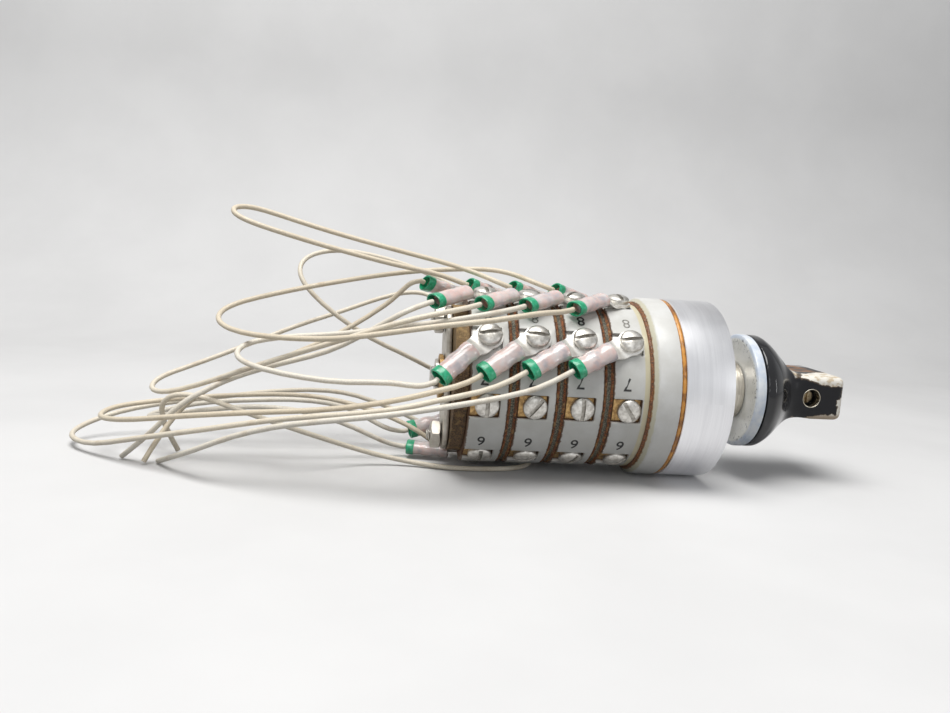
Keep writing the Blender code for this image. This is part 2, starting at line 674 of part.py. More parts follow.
def make_ties():
    """Two long screws that clamp the stack, with a nut on each behind the plate."""
    front = HOUSING_REAR + TIE_DEPTH
    rear = NUT_REAR - TIE_TAIL
    for index, degrees in enumerate(TIE_ANGLES, 1):
        foot = direction(degrees) * TIE_CIRCLE
        profile = [(0, front), (TIE_RADIUS, front), (TIE_RADIUS, rear + 0.4 * MM),
                   (TIE_RADIUS - 0.4 * MM, rear), (0, rear)]
        turned(f"tie_rod_{index}", profile, STEEL, HEAD_SIDES, at=foot, closed=False)
        nut = tube(f"tie_nut_{index}", NUT_ACROSS / math.sqrt(3), TIE_RADIUS + GAP,
                   NUT_REAR, NUT_REAR + NUT_THICK, STEEL, sides=6)
        nut.location = foot


def make_collar():
    """White collar between the decks and the front housing."""
    front = COLLAR_REAR + COLLAR_LENGTH
    bevel = 0.3 * MM
    profile = [(CHAMBER_RADIUS, front), (BODY_RADIUS - bevel, front),
               (BODY_RADIUS, front - bevel), (BODY_RADIUS, COLLAR_REAR + COLLAR_CHAMFER),
               (BODY_RADIUS - COLLAR_CHAMFER, COLLAR_REAR), (CHAMBER_RADIUS, COLLAR_REAR)]
    collar = turned("collar", profile, COLLAR_PAINT)
    drill_for_ties(collar, COLLAR_REAR, front, "collar_tie_holes")
    rim = BODY_RADIUS - SEAL_RECESS
    tube("seal_ring", rim, rim - SEAL_WIDTH, SEAL_REAR, SEAL_REAR + SEAL_THICK, SEAL_RUBBER)


def make_front_housing():
    """Turned aluminium housing with the detent chamber open to the rear."""
    edge = HOUSING_CHAMFER
    seat = HOUSING_FRONT - BUSHING_SEAT
    neck = BUSHING_RADIUS + GAP
    recess = BUSHING_SHOULDER + GAP
    profile = [(recess, HOUSING_FRONT), (BODY_RADIUS - edge, HOUSING_FRONT),
               (BODY_RADIUS, HOUSING_FRONT - edge), (BODY_RADIUS, HOUSING_REAR),
               (CHAMBER_RADIUS, HOUSING_REAR), (CHAMBER_RADIUS, CHAMBER_FRONT),
               (neck, CHAMBER_FRONT), (neck, seat), (recess, seat)]
    housing = turned("front_housing", profile, ALUMINIUM)

    def holes(shells):
        for degrees in TIE_ANGLES:
            depth = TIE_DEPTH + 2 * GAP
            frame = axial_frame(degrees, TIE_CIRCLE, HOUSING_REAR + depth / 2 - GAP)
            add_rod(shells, TIE_RADIUS + GAP, depth + GAP, frame, 12)
        top = BALL_CENTRE + BALL_RADIUS + SPRING_LENGTH + 2 * GAP
        bottom = CHAMBER_RADIUS - 1.0 * MM
        for degrees in BALL_ANGLES:
            frame = radial_frame(degrees, (top + bottom) / 2, WHEEL_MIDDLE)
            add_rod(shells, BALL_BORE, top - bottom, frame, 16)
        depth = 1.5 * MM
        frame = axial_frame(STOP_PIN_ANGLE, STOP_PIN_CIRCLE, CHAMBER_FRONT + depth / 2)
        add_rod(shells, STOP_PIN_RADIUS + GAP, depth + GAP, frame, 12)

    combine(housing, helper_solid("front_housing_holes", holes))


def make_bushing():
    """Mounting bushing: a seated shoulder and the round neck past the panel."""
    seat = HOUSING_FRONT - BUSHING_SEAT + GAP
    front = HOUSING_FRONT + BUSHING_LENGTH
    edge = BUSHING_CHAMFER
    profile = [(BORE_RADIUS, front), (BUSHING_RADIUS - edge, front),
               (BUSHING_RADIUS, front - edge), (BUSHING_RADIUS, HOUSING_FRONT),
               (BUSHING_SHOULDER, HOUSING_FRONT), (BUSHING_SHOULDER, seat),
               (BUSHING_RADIUS, seat), (BUSHING_RADIUS, CHAMBER_FRONT + GAP),
               (BORE_RADIUS, CHAMBER_FRONT + GAP)]
    turned("bushing", profile, BRASS, SMALL_SIDES)


def make_detent_balls():
    """Two balls that ride on the detent wheel, each pressed in by a coil spring."""
    for index, degrees in enumerate(BALL_ANGLES, 1):
        mesh = bpy.data.meshes.new(f"detent_ball_{index}")
        ball = bmesh.new()
        bmesh.ops.create_uvsphere(ball, u_segments=10, v_segments=6, radius=BALL_RADIUS)
        ball.to_mesh(mesh)
        ball.free()
        item = bpy.data.objects.new(mesh.name, mesh)
        item.location = direction(degrees) * BALL_CENTRE + Vector((0, 0, WHEEL_MIDDLE))
        place(item, STEEL)
        make_spring(f"detent_spring_{index}", degrees)


def make_spring(name, degrees):
    """Helical spring from the ball out to the bottom of its bore."""
    steps_per_turn = 6
    start = BALL_CENTRE + BALL_RADIUS + GAP + SPRING_WIRE
    rise = SPRING_LENGTH - 2 * SPRING_WIRE
    frame = radial_frame(degrees, start, WHEEL_MIDDLE)
    count = SPRING_TURNS * steps_per_turn
    curve = bpy.data.curves.new(name, "CURVE")
    curve.dimensions = "3D"
    curve.bevel_depth = SPRING_WIRE
    curve.bevel_resolution = 0
    curve.use_fill_caps = True
    spline = curve.splines.new("POLY")
    spline.points.add(count)
    for i, point in enumerate(spline.points):
        angle = 2 * math.pi * i / steps_per_turn
        spot = Vector((SPRING_RADIUS * math.cos(angle), SPRING_RADIUS * math.sin(angle),
                       rise * i / count))
        point.co = (*(frame @ spot), 1)
    place(bpy.data.objects.new(name, curve), STEEL)


def make_stop_pin():
    """Pin in the housing that the stop arm meets at both ends of its travel."""
    rear = STOP_FRONT - STOP_THICK
    front = CHAMBER_FRONT + 1.2 * MM
    foot = direction(STOP_PIN_ANGLE) * STOP_PIN_CIRCLE
    profile = [(0, front), (STOP_PIN_RADIUS, front), (STOP_PIN_RADIUS, rear), (0, rear)]
    turned("stop_pin", profile, STEEL, 12, at=foot, closed=False)


# Turning pieces

def flat_cut(name, rear, front, radius, flat):
    """Helper block that leaves a flat on the side of a round shaft or bore."""
    width = 2.4 * radius
    frame = axial_frame(0, flat + width / 2, (rear + front) / 2)
    return helper_solid(name, lambda shells: add_box(shells, (width, width, front - rear), frame))


def d_bore(name, rear, front):
    """Helper with the shaft's D section and its clearance."""
    def build(shells):
        radius = SHAFT_RADIUS + GAP
        flat = SHAFT_FLAT + GAP
        start = math.acos(flat / radius)
        outline = []
        for i in range(13):
            angle = start + (2 * math.pi - 2 * start) * i / 12
            outline.append(direction(math.degrees(angle)) * radius)
        rings = [[shells.verts.new(spot + Vector((0, 0, height))) for spot in outline]
                 for height in (rear - GAP, front + GAP)]
        shells.faces.new(reversed(rings[0]))
        shells.faces.new(rings[1])
        for i, spot in enumerate(rings[0]):
            j = (i + 1) % len(outline)
            shells.faces.new([spot, rings[0][j], rings[1][j], rings[1][i]])
        bmesh.ops.recalc_face_normals(shells, faces=shells.faces)
    return helper_solid(name, build)


def make_shaft():
    """Shaft with a rear journal, a flat for the rotors and one for the knob."""
    edge = 0.4 * MM
    profile = [(0, SHAFT_FRONT), (SHAFT_RADIUS - edge, SHAFT_FRONT),
               (SHAFT_RADIUS, SHAFT_FRONT - edge), (SHAFT_RADIUS, JOURNAL_FRONT + GAP),
               (JOURNAL_RADIUS, JOURNAL_FRONT + GAP), (JOURNAL_RADIUS, SHAFT_REAR + edge),
               (JOURNAL_RADIUS - edge, SHAFT_REAR), (0, SHAFT_REAR)]
    shaft = turned("shaft", profile, STEEL, SMALL_SIDES, closed=False)
    rotor_flat = flat_cut("shaft_rotor_flat", JOURNAL_FRONT, CHAMBER_FRONT, SHAFT_RADIUS,
                          SHAFT_FLAT)
    knob_flat = flat_cut("shaft_knob_flat", SKIRT_REAR, SHAFT_FRONT + GAP, SHAFT_RADIUS,
                         SHAFT_FLAT)
    combine(combine(shaft, rotor_flat), knob_flat)


def make_rotor(deck):
    """Moulded rotor keyed to the shaft, with a wiper blade let into its rim."""
    middle = deck_height(deck)
    rear = middle - ROTOR_THICK / 2
    front = middle + ROTOR_THICK / 2
    waist = ROTOR_RADIUS - 2 * ROTOR_RIM
    step = ROTOR_THICK / 4
    profile = [(0, front), (waist, front), (ROTOR_RADIUS, front - step),
               (ROTOR_RADIUS, rear + step), (waist, rear), (0, rear)]
    rotor = turned(f"rotor_{deck}", profile, ROTOR_PLASTIC, SMALL_SIDES, closed=False)
    combine(rotor, d_bore(f"rotor_{deck}_bore", rear, front))
    angle = terminal_angle(8)
    length = WIPER_REACH - WIPER_ROOT
    frame = radial_frame(angle, WIPER_ROOT + length / 2, middle)
    slot = (WIPER_THICK + 2 * GAP, WIPER_WIDTH + 2 * GAP, length + 2 * GAP)
    combine(rotor, helper_solid(f"rotor_{deck}_slot", lambda s: add_box(s, slot, frame)))
    make_wiper(f"wiper_{deck}", frame, length)


def make_wiper(name, frame, length):
    """Contact blade with a rounded nose that sweeps the fixed contacts."""
    mesh = bpy.data.meshes.new(name)
    shell = bmesh.new()
    outline = [(-WIPER_WIDTH / 2, -length / 2), (WIPER_WIDTH / 2, -length / 2)]
    nose = length / 2 - WIPER_WIDTH / 2
    for i in range(7):
        angle = math.pi * i / 6
        outline.append((WIPER_WIDTH / 2 * math.cos(angle), nose + WIPER_WIDTH / 2 * math.sin(angle)))
    rings = [[shell.verts.new(frame @ Vector((side * WIPER_THICK / 2, y, z)))
              for y, z in outline] for side in (-1, 1)]
    shell.faces.new(reversed(rings[0]))
    shell.faces.new(rings[1])
    for i in range(len(outline)):
        j = (i + 1) % len(outline)
        shell.faces.new([rings[0][i], rings[0][j], rings[1][j], rings[1][i]])
    bmesh.ops.recalc_face_normals(shell, faces=shell.faces)
    shell.to_mesh(mesh)
    shell.free()
    place(bpy.data.objects.new(name, mesh), BRASS)


def make_sleeves():
    """Spacing sleeves on the shaft between the rotors."""
    for deck in range(1, DECK_COUNT):
        rear = deck_height(deck) + ROTOR_THICK / 2 + GAP
        front = deck_height(deck + 1) - ROTOR_THICK / 2 - GAP
        name = f"shaft_sleeve_{deck}"
        inner = SHAFT_RADIUS + GAP
        tube(name, inner + SLEEVE_WALL, inner, rear, front, BRASS, sides=12)


def make_detent_wheel():
    """Wheel with a round notch for each of the eight positions."""
    rear = WHEEL_FRONT - WHEEL_THICK
    profile = [(0, WHEEL_FRONT), (WHEEL_RADIUS, WHEEL_FRONT), (WHEEL_RADIUS, rear), (0, rear)]
    wheel = turned("detent_wheel", profile, STEEL, SPACER_SIDES, closed=False)

    def notches(shells):
        centre = WHEEL_RADIUS - NOTCH_DEPTH + NOTCH_RADIUS
        for i in range(TERMINAL_COUNT):
            frame = axial_frame(BALL_ANGLES[0] + i * TERMINAL_STEP, centre, WHEEL_MIDDLE)
            add_rod(shells, NOTCH_RADIUS, 2 * WHEEL_THICK, frame, 12)

    combine(wheel, helper_solid("detent_wheel_notches", notches))
    combine(wheel, d_bore("detent_wheel_bore", rear, WHEEL_FRONT))


def make_stop_arm():
    """Sector that turns with the shaft and meets the stop pin at both limits."""
    rest = STOP_PIN_ANGLE + TRAVEL_AHEAD + TRAVEL_MARGIN
    rear = STOP_FRONT - STOP_THICK
    outline = []
    for i in range(7):
        degrees = rest - STOP_HALF_ANGLE + 2 * STOP_HALF_ANGLE * i / 6
        outline.append(direction(degrees) * STOP_REACH)
    for i in range(13):
        degrees = rest + STOP_HALF_ANGLE + (360 - 2 * STOP_HALF_ANGLE) * i / 12
        outline.append(direction(degrees) * STOP_HUB)
    mesh = bpy.data.meshes.new("stop_arm")
    shell = bmesh.new()
    rings = [[shell.verts.new(spot + Vector((0, 0, height))) for spot in outline]
             for height in (rear, STOP_FRONT)]
    shell.faces.new(reversed(rings[0]))
    shell.faces.new(rings[1])
    for i in range(len(outline)):
        j = (i + 1) % len(outline)
        shell.faces.new([rings[0][i], rings[0][j], rings[1][j], rings[1][i]])
    bmesh.ops.recalc_face_normals(shell, faces=shell.faces)
    shell.to_mesh(mesh)
    shell.free()
    arm = place(bpy.data.objects.new("stop_arm", mesh), STEEL)
    combine(arm, d_bore("stop_arm_bore", rear, STOP_FRONT))


def make_clip():
    """Open retaining clip on the journal behind the bush."""
    inner = JOURNAL_RADIUS + GAP
    clip = tube("retaining_clip", CLIP_RADIUS, inner, CLIP_REAR, CLIP_REAR + CLIP_THICK,
                STEEL, sides=SMALL_SIDES)
    size = (2 * CLIP_RADIUS, 2 * CLIP_MOUTH, 3 * CLIP_THICK)
    frame = axial_frame(0, CLIP_RADIUS, CLIP_REAR + CLIP_THICK / 2)
    combine(clip, helper_solid("retaining_clip_mouth", lambda s: add_box(s, size, frame)))


# Knob

def grub_frame(radius):
    return radial_frame(0, radius, BASE_REAR + GRUB_HEIGHT)


def make_knob_insert():
    """Metal insert that grips the shaft, with a boss behind the skirt."""
    front = SHAFT_FRONT + GAP + INSERT_END_WALL
    rear = SKIRT_REAR - INSERT_BOSS_LENGTH
    boss = SKIRT_REAR - GAP
    inner = SHAFT_RADIUS + GAP
    edge = 0.4 * MM
    profile = [(0, front), (KNOB_INSERT_RADIUS, front), (KNOB_INSERT_RADIUS, boss),
               (INSERT_BOSS_RADIUS, boss), (INSERT_BOSS_RADIUS, rear + edge),
               (INSERT_BOSS_RADIUS - edge, rear), (inner, rear), (inner, SHAFT_FRONT + GAP),
               (0, SHAFT_FRONT + GAP)]
    insert = turned("knob_insert", profile, BRASS, SMALL_SIDES, closed=False)
    depth = KNOB_INSERT_RADIUS
    hole = helper_solid("knob_insert_grub_hole", lambda shells: add_rod(
        shells, GRUB_HOLE, depth, grub_frame(SHAFT_FLAT + depth / 2), 16))
    combine(insert, hole)


def make_knob_skirt():
    """Translucent disc clamped between the insert's boss and the knob."""
    front = SKIRT_REAR + SKIRT_THICK
    edge = SKIRT_BEVEL
    inner = KNOB_INSERT_RADIUS + GAP
    profile = [(inner, front), (SKIRT_RADIUS - edge / 2, front),
               (SKIRT_RADIUS, front - edge / 2), (SKIRT_RADIUS, SKIRT_REAR + edge),
               (SKIRT_RADIUS - edge, SKIRT_REAR), (inner, SKIRT_REAR)]
    turned("knob_skirt", profile, SKIRT_PLASTIC, DECK_SIDES)


def flare_profile():
    """Straight rim, then a bulged cone up into the bar."""
    steps = 7
    flare = []
    for i in range(steps + 1):
        share = (i / steps) ** 1.5
        radius = SKIRT_RADIUS + (CONE_TOP_RADIUS - SKIRT_RADIUS) * share
        height = BASE_THICK + (CONE_TOP - BASE_THICK) * share ** CONE_BULGE
        flare.append((radius, BASE_REAR + height))
    return [(0, flare[-1][1])] + flare[::-1] + [(SKIRT_RADIUS, BASE_REAR), (0, BASE_REAR)]


def make_knob_body():
    """Flared base and grip bar in one moulding, hollow for the insert."""
    body = turned("knob_body", flare_profile(), BLACK_PAINT, DECK_SIDES, closed=False)
    length = BAR_BLUNT + BAR_POINT
    low = BASE_REAR + 1.0 * MM
    high = BASE_REAR + KNOB_HEIGHT
    mesh = bpy.data.meshes.new("knob_bar")
    block = bmesh.new()
    centre = Vector((0, (BAR_POINT - BAR_BLUNT) / 2, (low + high) / 2))
    add_box(block, (BAR_THICK, length, high - low), Matrix.Translation(centre))
    edges = [e for e in block.edges
             if (e.verts[0].co + e.verts[1].co).z / 2 > low + GAP]
    bmesh.ops.bevel(block, geom=edges, offset=BAR_ROUND, segments=3, profile=0.5,
                    affect="EDGES")
    block.to_mesh(mesh)
    block.free()
    bar = as_cutter(place(bpy.data.objects.new("knob_bar", mesh), collection=CUTTERS))
    combine(body, bar, "UNION")

    def hollows(shells):
        top = SHAFT_FRONT + INSERT_END_WALL + 2 * GAP
        bottom = BASE_REAR - GAP
        add_rod(shells, KNOB_INSERT_RADIUS + GAP, top - bottom,
                Matrix.Translation((0, 0, (top + bottom) / 2)), SMALL_SIDES)

    combine(body, helper_solid("knob_hollow", hollows))
    depth = 2 * BAR_BLUNT
    start = KNOB_INSERT_RADIUS - GAP
    combine(body, helper_solid("knob_grub_hole", lambda shells: add_rod(
        shells, GRUB_HOLE, depth, grub_frame(start + depth / 2), 16)))
    groove = index_box(0)
    combine(body, helper_solid("knob_index_groove", lambda shells: add_box(
        shells, groove[0], groove[1])))


def index_box(clearance):
    """Size and frame of the index line, let into the crest of the bar."""
    length = BAR_POINT - BAR_ROUND - GRUB_RADIUS
    size = (INDEX_WIDTH + 2 * GAP - 2 * clearance, length - 2 * clearance,
            INDEX_DEPTH if clearance else 2 * INDEX_DEPTH + 2 * GAP)
    crest = BASE_REAR + KNOB_HEIGHT
    height = crest - INDEX_DEPTH / 2 if clearance else crest
    middle = GRUB_RADIUS + length / 2
    return size, Matrix.Translation((0, middle, height))


def make_index_line():
    size, frame = index_box(GAP)
    mesh = bpy.data.meshes.new("knob_index")
    block = bmesh.new()
    add_box(block, size, frame)
    block.to_mesh(mesh)
    block.free()
    place(bpy.data.objects.new("knob_index", mesh), INDEX_FILL)


def make_grub_screw():
    """Set screw that bears on the shaft's flat."""
    mesh = bpy.data.meshes.new("knob_grub_screw")
    shell = bmesh.new()
    start = SHAFT_FLAT + GAP
    add_rod(shell, GRUB_RADIUS, GRUB_LENGTH, grub_frame(start + GRUB_LENGTH / 2), 12)
    shell.to_mesh(mesh)
    shell.free()
    screw = place(bpy.data.objects.new("knob_grub_screw", mesh), STEEL)
    size = (GRUB_SLOT, 3 * GRUB_RADIUS, 2 * GRUB_SLOT)
    frame = grub_frame(start + GRUB_LENGTH)
    combine(screw, helper_solid("knob_grub_slot", lambda shells: add_box(shells, size, frame)))


# Wires

def lug_mouth(number, deck):
    """Mouth of a lug and the way out of it, in the wiring's own axes."""
    _, end, along = lug_line(number, deck)
    mouth = Vector((end.z, end.y, AXIS_HEIGHT - end.x))
    return mouth, Vector((along.z, along.y, -along.x))


def whole_route(first, last, points):
    """A wire's route with its straight runs out of the lugs."""
    mouth, out = lug_mouth(*first)
    route = [mouth + out * GAP, mouth + out * WIRE_LEAD]
    route += [Vector(point) * MM for point in points]
    if last:
        mouth, out = lug_mouth(*last)
        route += [mouth + out * WIRE_LEAD, mouth + out * GAP]
    return route


def smooth_line(route):
    """Evenly spaced points on a smooth line, with its tight corners eased."""
    before, after = [route[0]] + route[:-1], route[1:] + [route[-1]]
    headings = [(b - a).normalized() for a, b in zip(before, after)]
    line = [route[0]]
    for i in range(len(route) - 1):
        start, end = route[i], route[i + 1]
        reach = (end - start).length / 3
        line += interpolate_bezier(start, start + headings[i] * reach,
                                   end - headings[i + 1] * reach, end, 16)[1:]
    spots = np.array(line)
    run = np.concatenate([[0], np.cumsum(np.linalg.norm(np.diff(spots, axis=0), axis=1))])
    marks = np.linspace(0, run[-1], round(run[-1] / WIRE_STEP) + 1)
    even = np.stack([np.interp(marks, run, spots[:, axis]) for axis in range(3)], axis=1)
    for _ in range(WIRE_EASING):
        even[2:-2] = (even[1:-3] + 2 * even[2:-2] + even[3:-1]) / 4
    return [Vector(spot) for spot in even]


def thinned(line):
    """Keep a point where the line has turned or run far enough since the last."""
    kept = [line[0]]
    heading = line[1] - line[0]
    for spot, after in zip(line[1:], line[2:]):
        turned_far = heading.angle(after - spot) > math.radians(WIRE_TURN)
        if turned_far or (spot - kept[-1]).length > WIRE_RUN:
            kept.append(spot)
            heading = after - spot
    return kept + [line[-1]]


def make_wires():
    """Stranded hook-up wires, each from a lug to another lug or to a bare end."""
    names = []
    for index, (first, last, points) in enumerate(WIRE_ROUTES, 1):
        line = thinned(smooth_line(whole_route(first, last, points)))
        curve = bpy.data.curves.new(f"wire_{index}", "CURVE")
        curve.dimensions = "3D"
        curve.bevel_depth = WIRE_RADIUS
        curve.bevel_resolution = 2
        curve.use_fill_caps = True
        spline = curve.splines.new("POLY")
        spline.points.add(len(line) - 1)
        for point, spot in zip(spline.points, line):
            point.co = (*spot, 1)
        wire = bpy.data.objects.new(curve.name, curve)
        place(wire, WIRE_COAT, WIRING)
        names.append(wire.name)
    return names


def lay_down(cords):
    """Stand the switch on its collar and housing, centred on the origin."""
    bpy.context.view_layer.update()
    graph = bpy.context.evaluated_depsgraph_get()
    corners = []
    for item in PARTS.objects:
        if item.type == "EMPTY" or item.name in cords:
            continue
        solid = item.evaluated_get(graph)
        mesh = solid.to_mesh()
        spots = np.empty(3 * len(mesh.vertices), dtype=np.float32)
        mesh.vertices.foreach_get("co", spots)
        world = np.array(solid.matrix_world)
        placed = spots.reshape(-1, 3) @ world[:3, :3].T + world[:3, 3]
        corners += [placed.min(axis=0), placed.max(axis=0)]
        solid.to_mesh_clear()
    low, high = np.min(corners, axis=0), np.max(corners, axis=0)
    shift = Vector((-(low[0] + high[0]) / 2, -(low[1] + high[1]) / 2, -low[2]))
    ASSEMBLY.location = shift
    WIRING.location = (shift.x, shift.y, 0)


for number in range(1, DECK_COUNT + 1):
    make_deck(number)
make_spacers()
make_rear_plate()
make_rear_bush()
make_ties()
make_collar()
make_front_housing()
make_bushing()
make_detent_balls()
make_stop_pin()
make_shaft()
for number in range(1, DECK_COUNT + 1):
    make_rotor(number)
make_sleeves()
make_detent_wheel()
make_stop_arm()
make_clip()
make_knob_insert()
make_knob_skirt()
make_knob_body()
make_index_line()
make_grub_screw()
lay_down(make_wires())
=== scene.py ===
import math

import bmesh
import bpy
import numpy as np
from mathutils import Matrix, Vector
from mathutils.geometry import interpolate_bezier


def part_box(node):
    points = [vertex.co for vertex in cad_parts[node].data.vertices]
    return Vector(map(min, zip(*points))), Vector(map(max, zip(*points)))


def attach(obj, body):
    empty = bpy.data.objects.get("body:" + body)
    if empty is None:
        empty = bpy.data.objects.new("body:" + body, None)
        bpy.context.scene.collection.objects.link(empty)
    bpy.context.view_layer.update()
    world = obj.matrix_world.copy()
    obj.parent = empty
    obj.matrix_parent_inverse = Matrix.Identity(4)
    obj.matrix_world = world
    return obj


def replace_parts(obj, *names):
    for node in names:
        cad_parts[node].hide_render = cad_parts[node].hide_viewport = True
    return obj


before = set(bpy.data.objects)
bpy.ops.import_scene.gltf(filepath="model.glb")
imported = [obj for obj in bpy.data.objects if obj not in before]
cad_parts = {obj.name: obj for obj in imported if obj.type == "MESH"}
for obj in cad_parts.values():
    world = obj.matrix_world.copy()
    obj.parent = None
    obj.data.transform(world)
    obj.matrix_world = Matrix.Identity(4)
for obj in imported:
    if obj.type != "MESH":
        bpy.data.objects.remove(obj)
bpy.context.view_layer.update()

MM = 0.001
GAP = 0.3 * MM                     # between CAD pieces that meet

# Sizes repeated from the CAD
DECK_COUNT = 4
DECKS = range(1, DECK_COUNT + 1)
DECK_PITCH = 10.92 * MM
DECK_REAR = 4.0 * MM               # moulding behind the terminal screws
DECK_FRONT = 4.7 * MM              # moulding in front of them
DECK_RADIUS = 20.3 * MM
DECK_BORE = 11.6 * MM
SPACER_RADIUS = 19.6 * MM
SPACER_BORE = 12.4 * MM
REAR_SPACER_RADIUS = 17.8 * MM
REAR_SPACER_BORE = 6.0 * MM
POCKET_WIDTH = 5.8 * MM
POCKET_FRONT = 3.0 * MM
POCKET_FLOOR = 19.1 * MM
PLATE_PROUD = 0.2 * MM
PLATE_FACE = POCKET_FLOOR + PLATE_PROUD
HEAD_RADIUS = 2.8 * MM
HEAD_HEIGHT = 2.0 * MM
TERMINALS = range(1, 9)
TERMINAL_STEP = 360 / len(TERMINALS)
FIRST_TERMINAL_ANGLE = 82.0
SHANK_RADIUS = 1.42 * MM
SHANK_LET_IN = 0.6 * MM            # shank into the terminal plate
TONGUE_THICK = 0.7 * MM
BARREL_WIDTH = 4.9 * MM
BARREL_THICK = 3.5 * MM
BARREL_START = 6.0 * MM
BARREL_LENGTH = 10.6 * MM
BARREL_LIFT = 1.95 * MM            # height above the deck where the barrel starts
BARREL_DIP = {8: 0.0, 1: 0.12, 2: 0.07, 3: 0.07, 4: 0.07, 5: 0.0}
LOW_TERMINAL = 5
LOW_BARREL_DROP = 0.25 * MM
LUG_LEAN = {                       # degrees, by terminal and deck
    8: (46, 39, 34, 31),
    1: (39, 39, 36, 38),
    2: (32, 32, 32, 32),
    3: (None, 32, 32, -32),
    4: (-18, -32, -32, -32),
    5: (10, None, None, None),
}
TIE_ANGLE = 104.5
TIE_CIRCLE = 14.2 * MM
TIE_RADIUS = 1.42 * MM
TIE_HOLE = 1.6 * MM
NUT_ACROSS = 6.35 * MM
NUT_BORE = 1.45 * MM
STRAP_BORE = 4.9 * MM
STRAP_HALF = 7.5 * MM
STRAP_REACH = 17.6 * MM
BUSHING_BORE = 3.525 * MM
BUSHING_RADIUS = 4.76 * MM
SKIRT_RADIUS = 14.3 * MM
KNOB_BORE = 4.7 * MM
BASE_THICK = 1.9 * MM
CONE_TOP_RADIUS = 5.0 * MM
CONE_TOP = 12.2 * MM
CONE_BULGE = 0.75
BAR_THICK = 11.1 * MM
BAR_BLUNT = 8.0 * MM               # from the shaft's axis to the near face
BAR_POINT = 13.6 * MM              # and to the far one
BAR_ROUND = 1.6 * MM
GRUB_HEIGHT = 14.6 * MM
GRUB_HOLE = 2.15 * MM
GRUB_RADIUS = 1.8 * MM
GRUB_START = 2.6 * MM              # from the shaft's axis
GRUB_END = 5.2 * MM
GRUB_SLOT = (0.75 * MM, 6 * MM, 1.5 * MM)

# Wires
WIRE_DIAMETER = 1.25 * MM
WIRE_LEAD = 4.0 * MM               # straight run out of a lug
WIRE_STEP = 1.0 * MM
WIRE_EASING = 20                   # passes that round off tight corners
WIRE_TURN = 5.0                    # degrees between the points kept, at most
WIRE_RUN = 4.0 * MM                # length between the points kept, at most

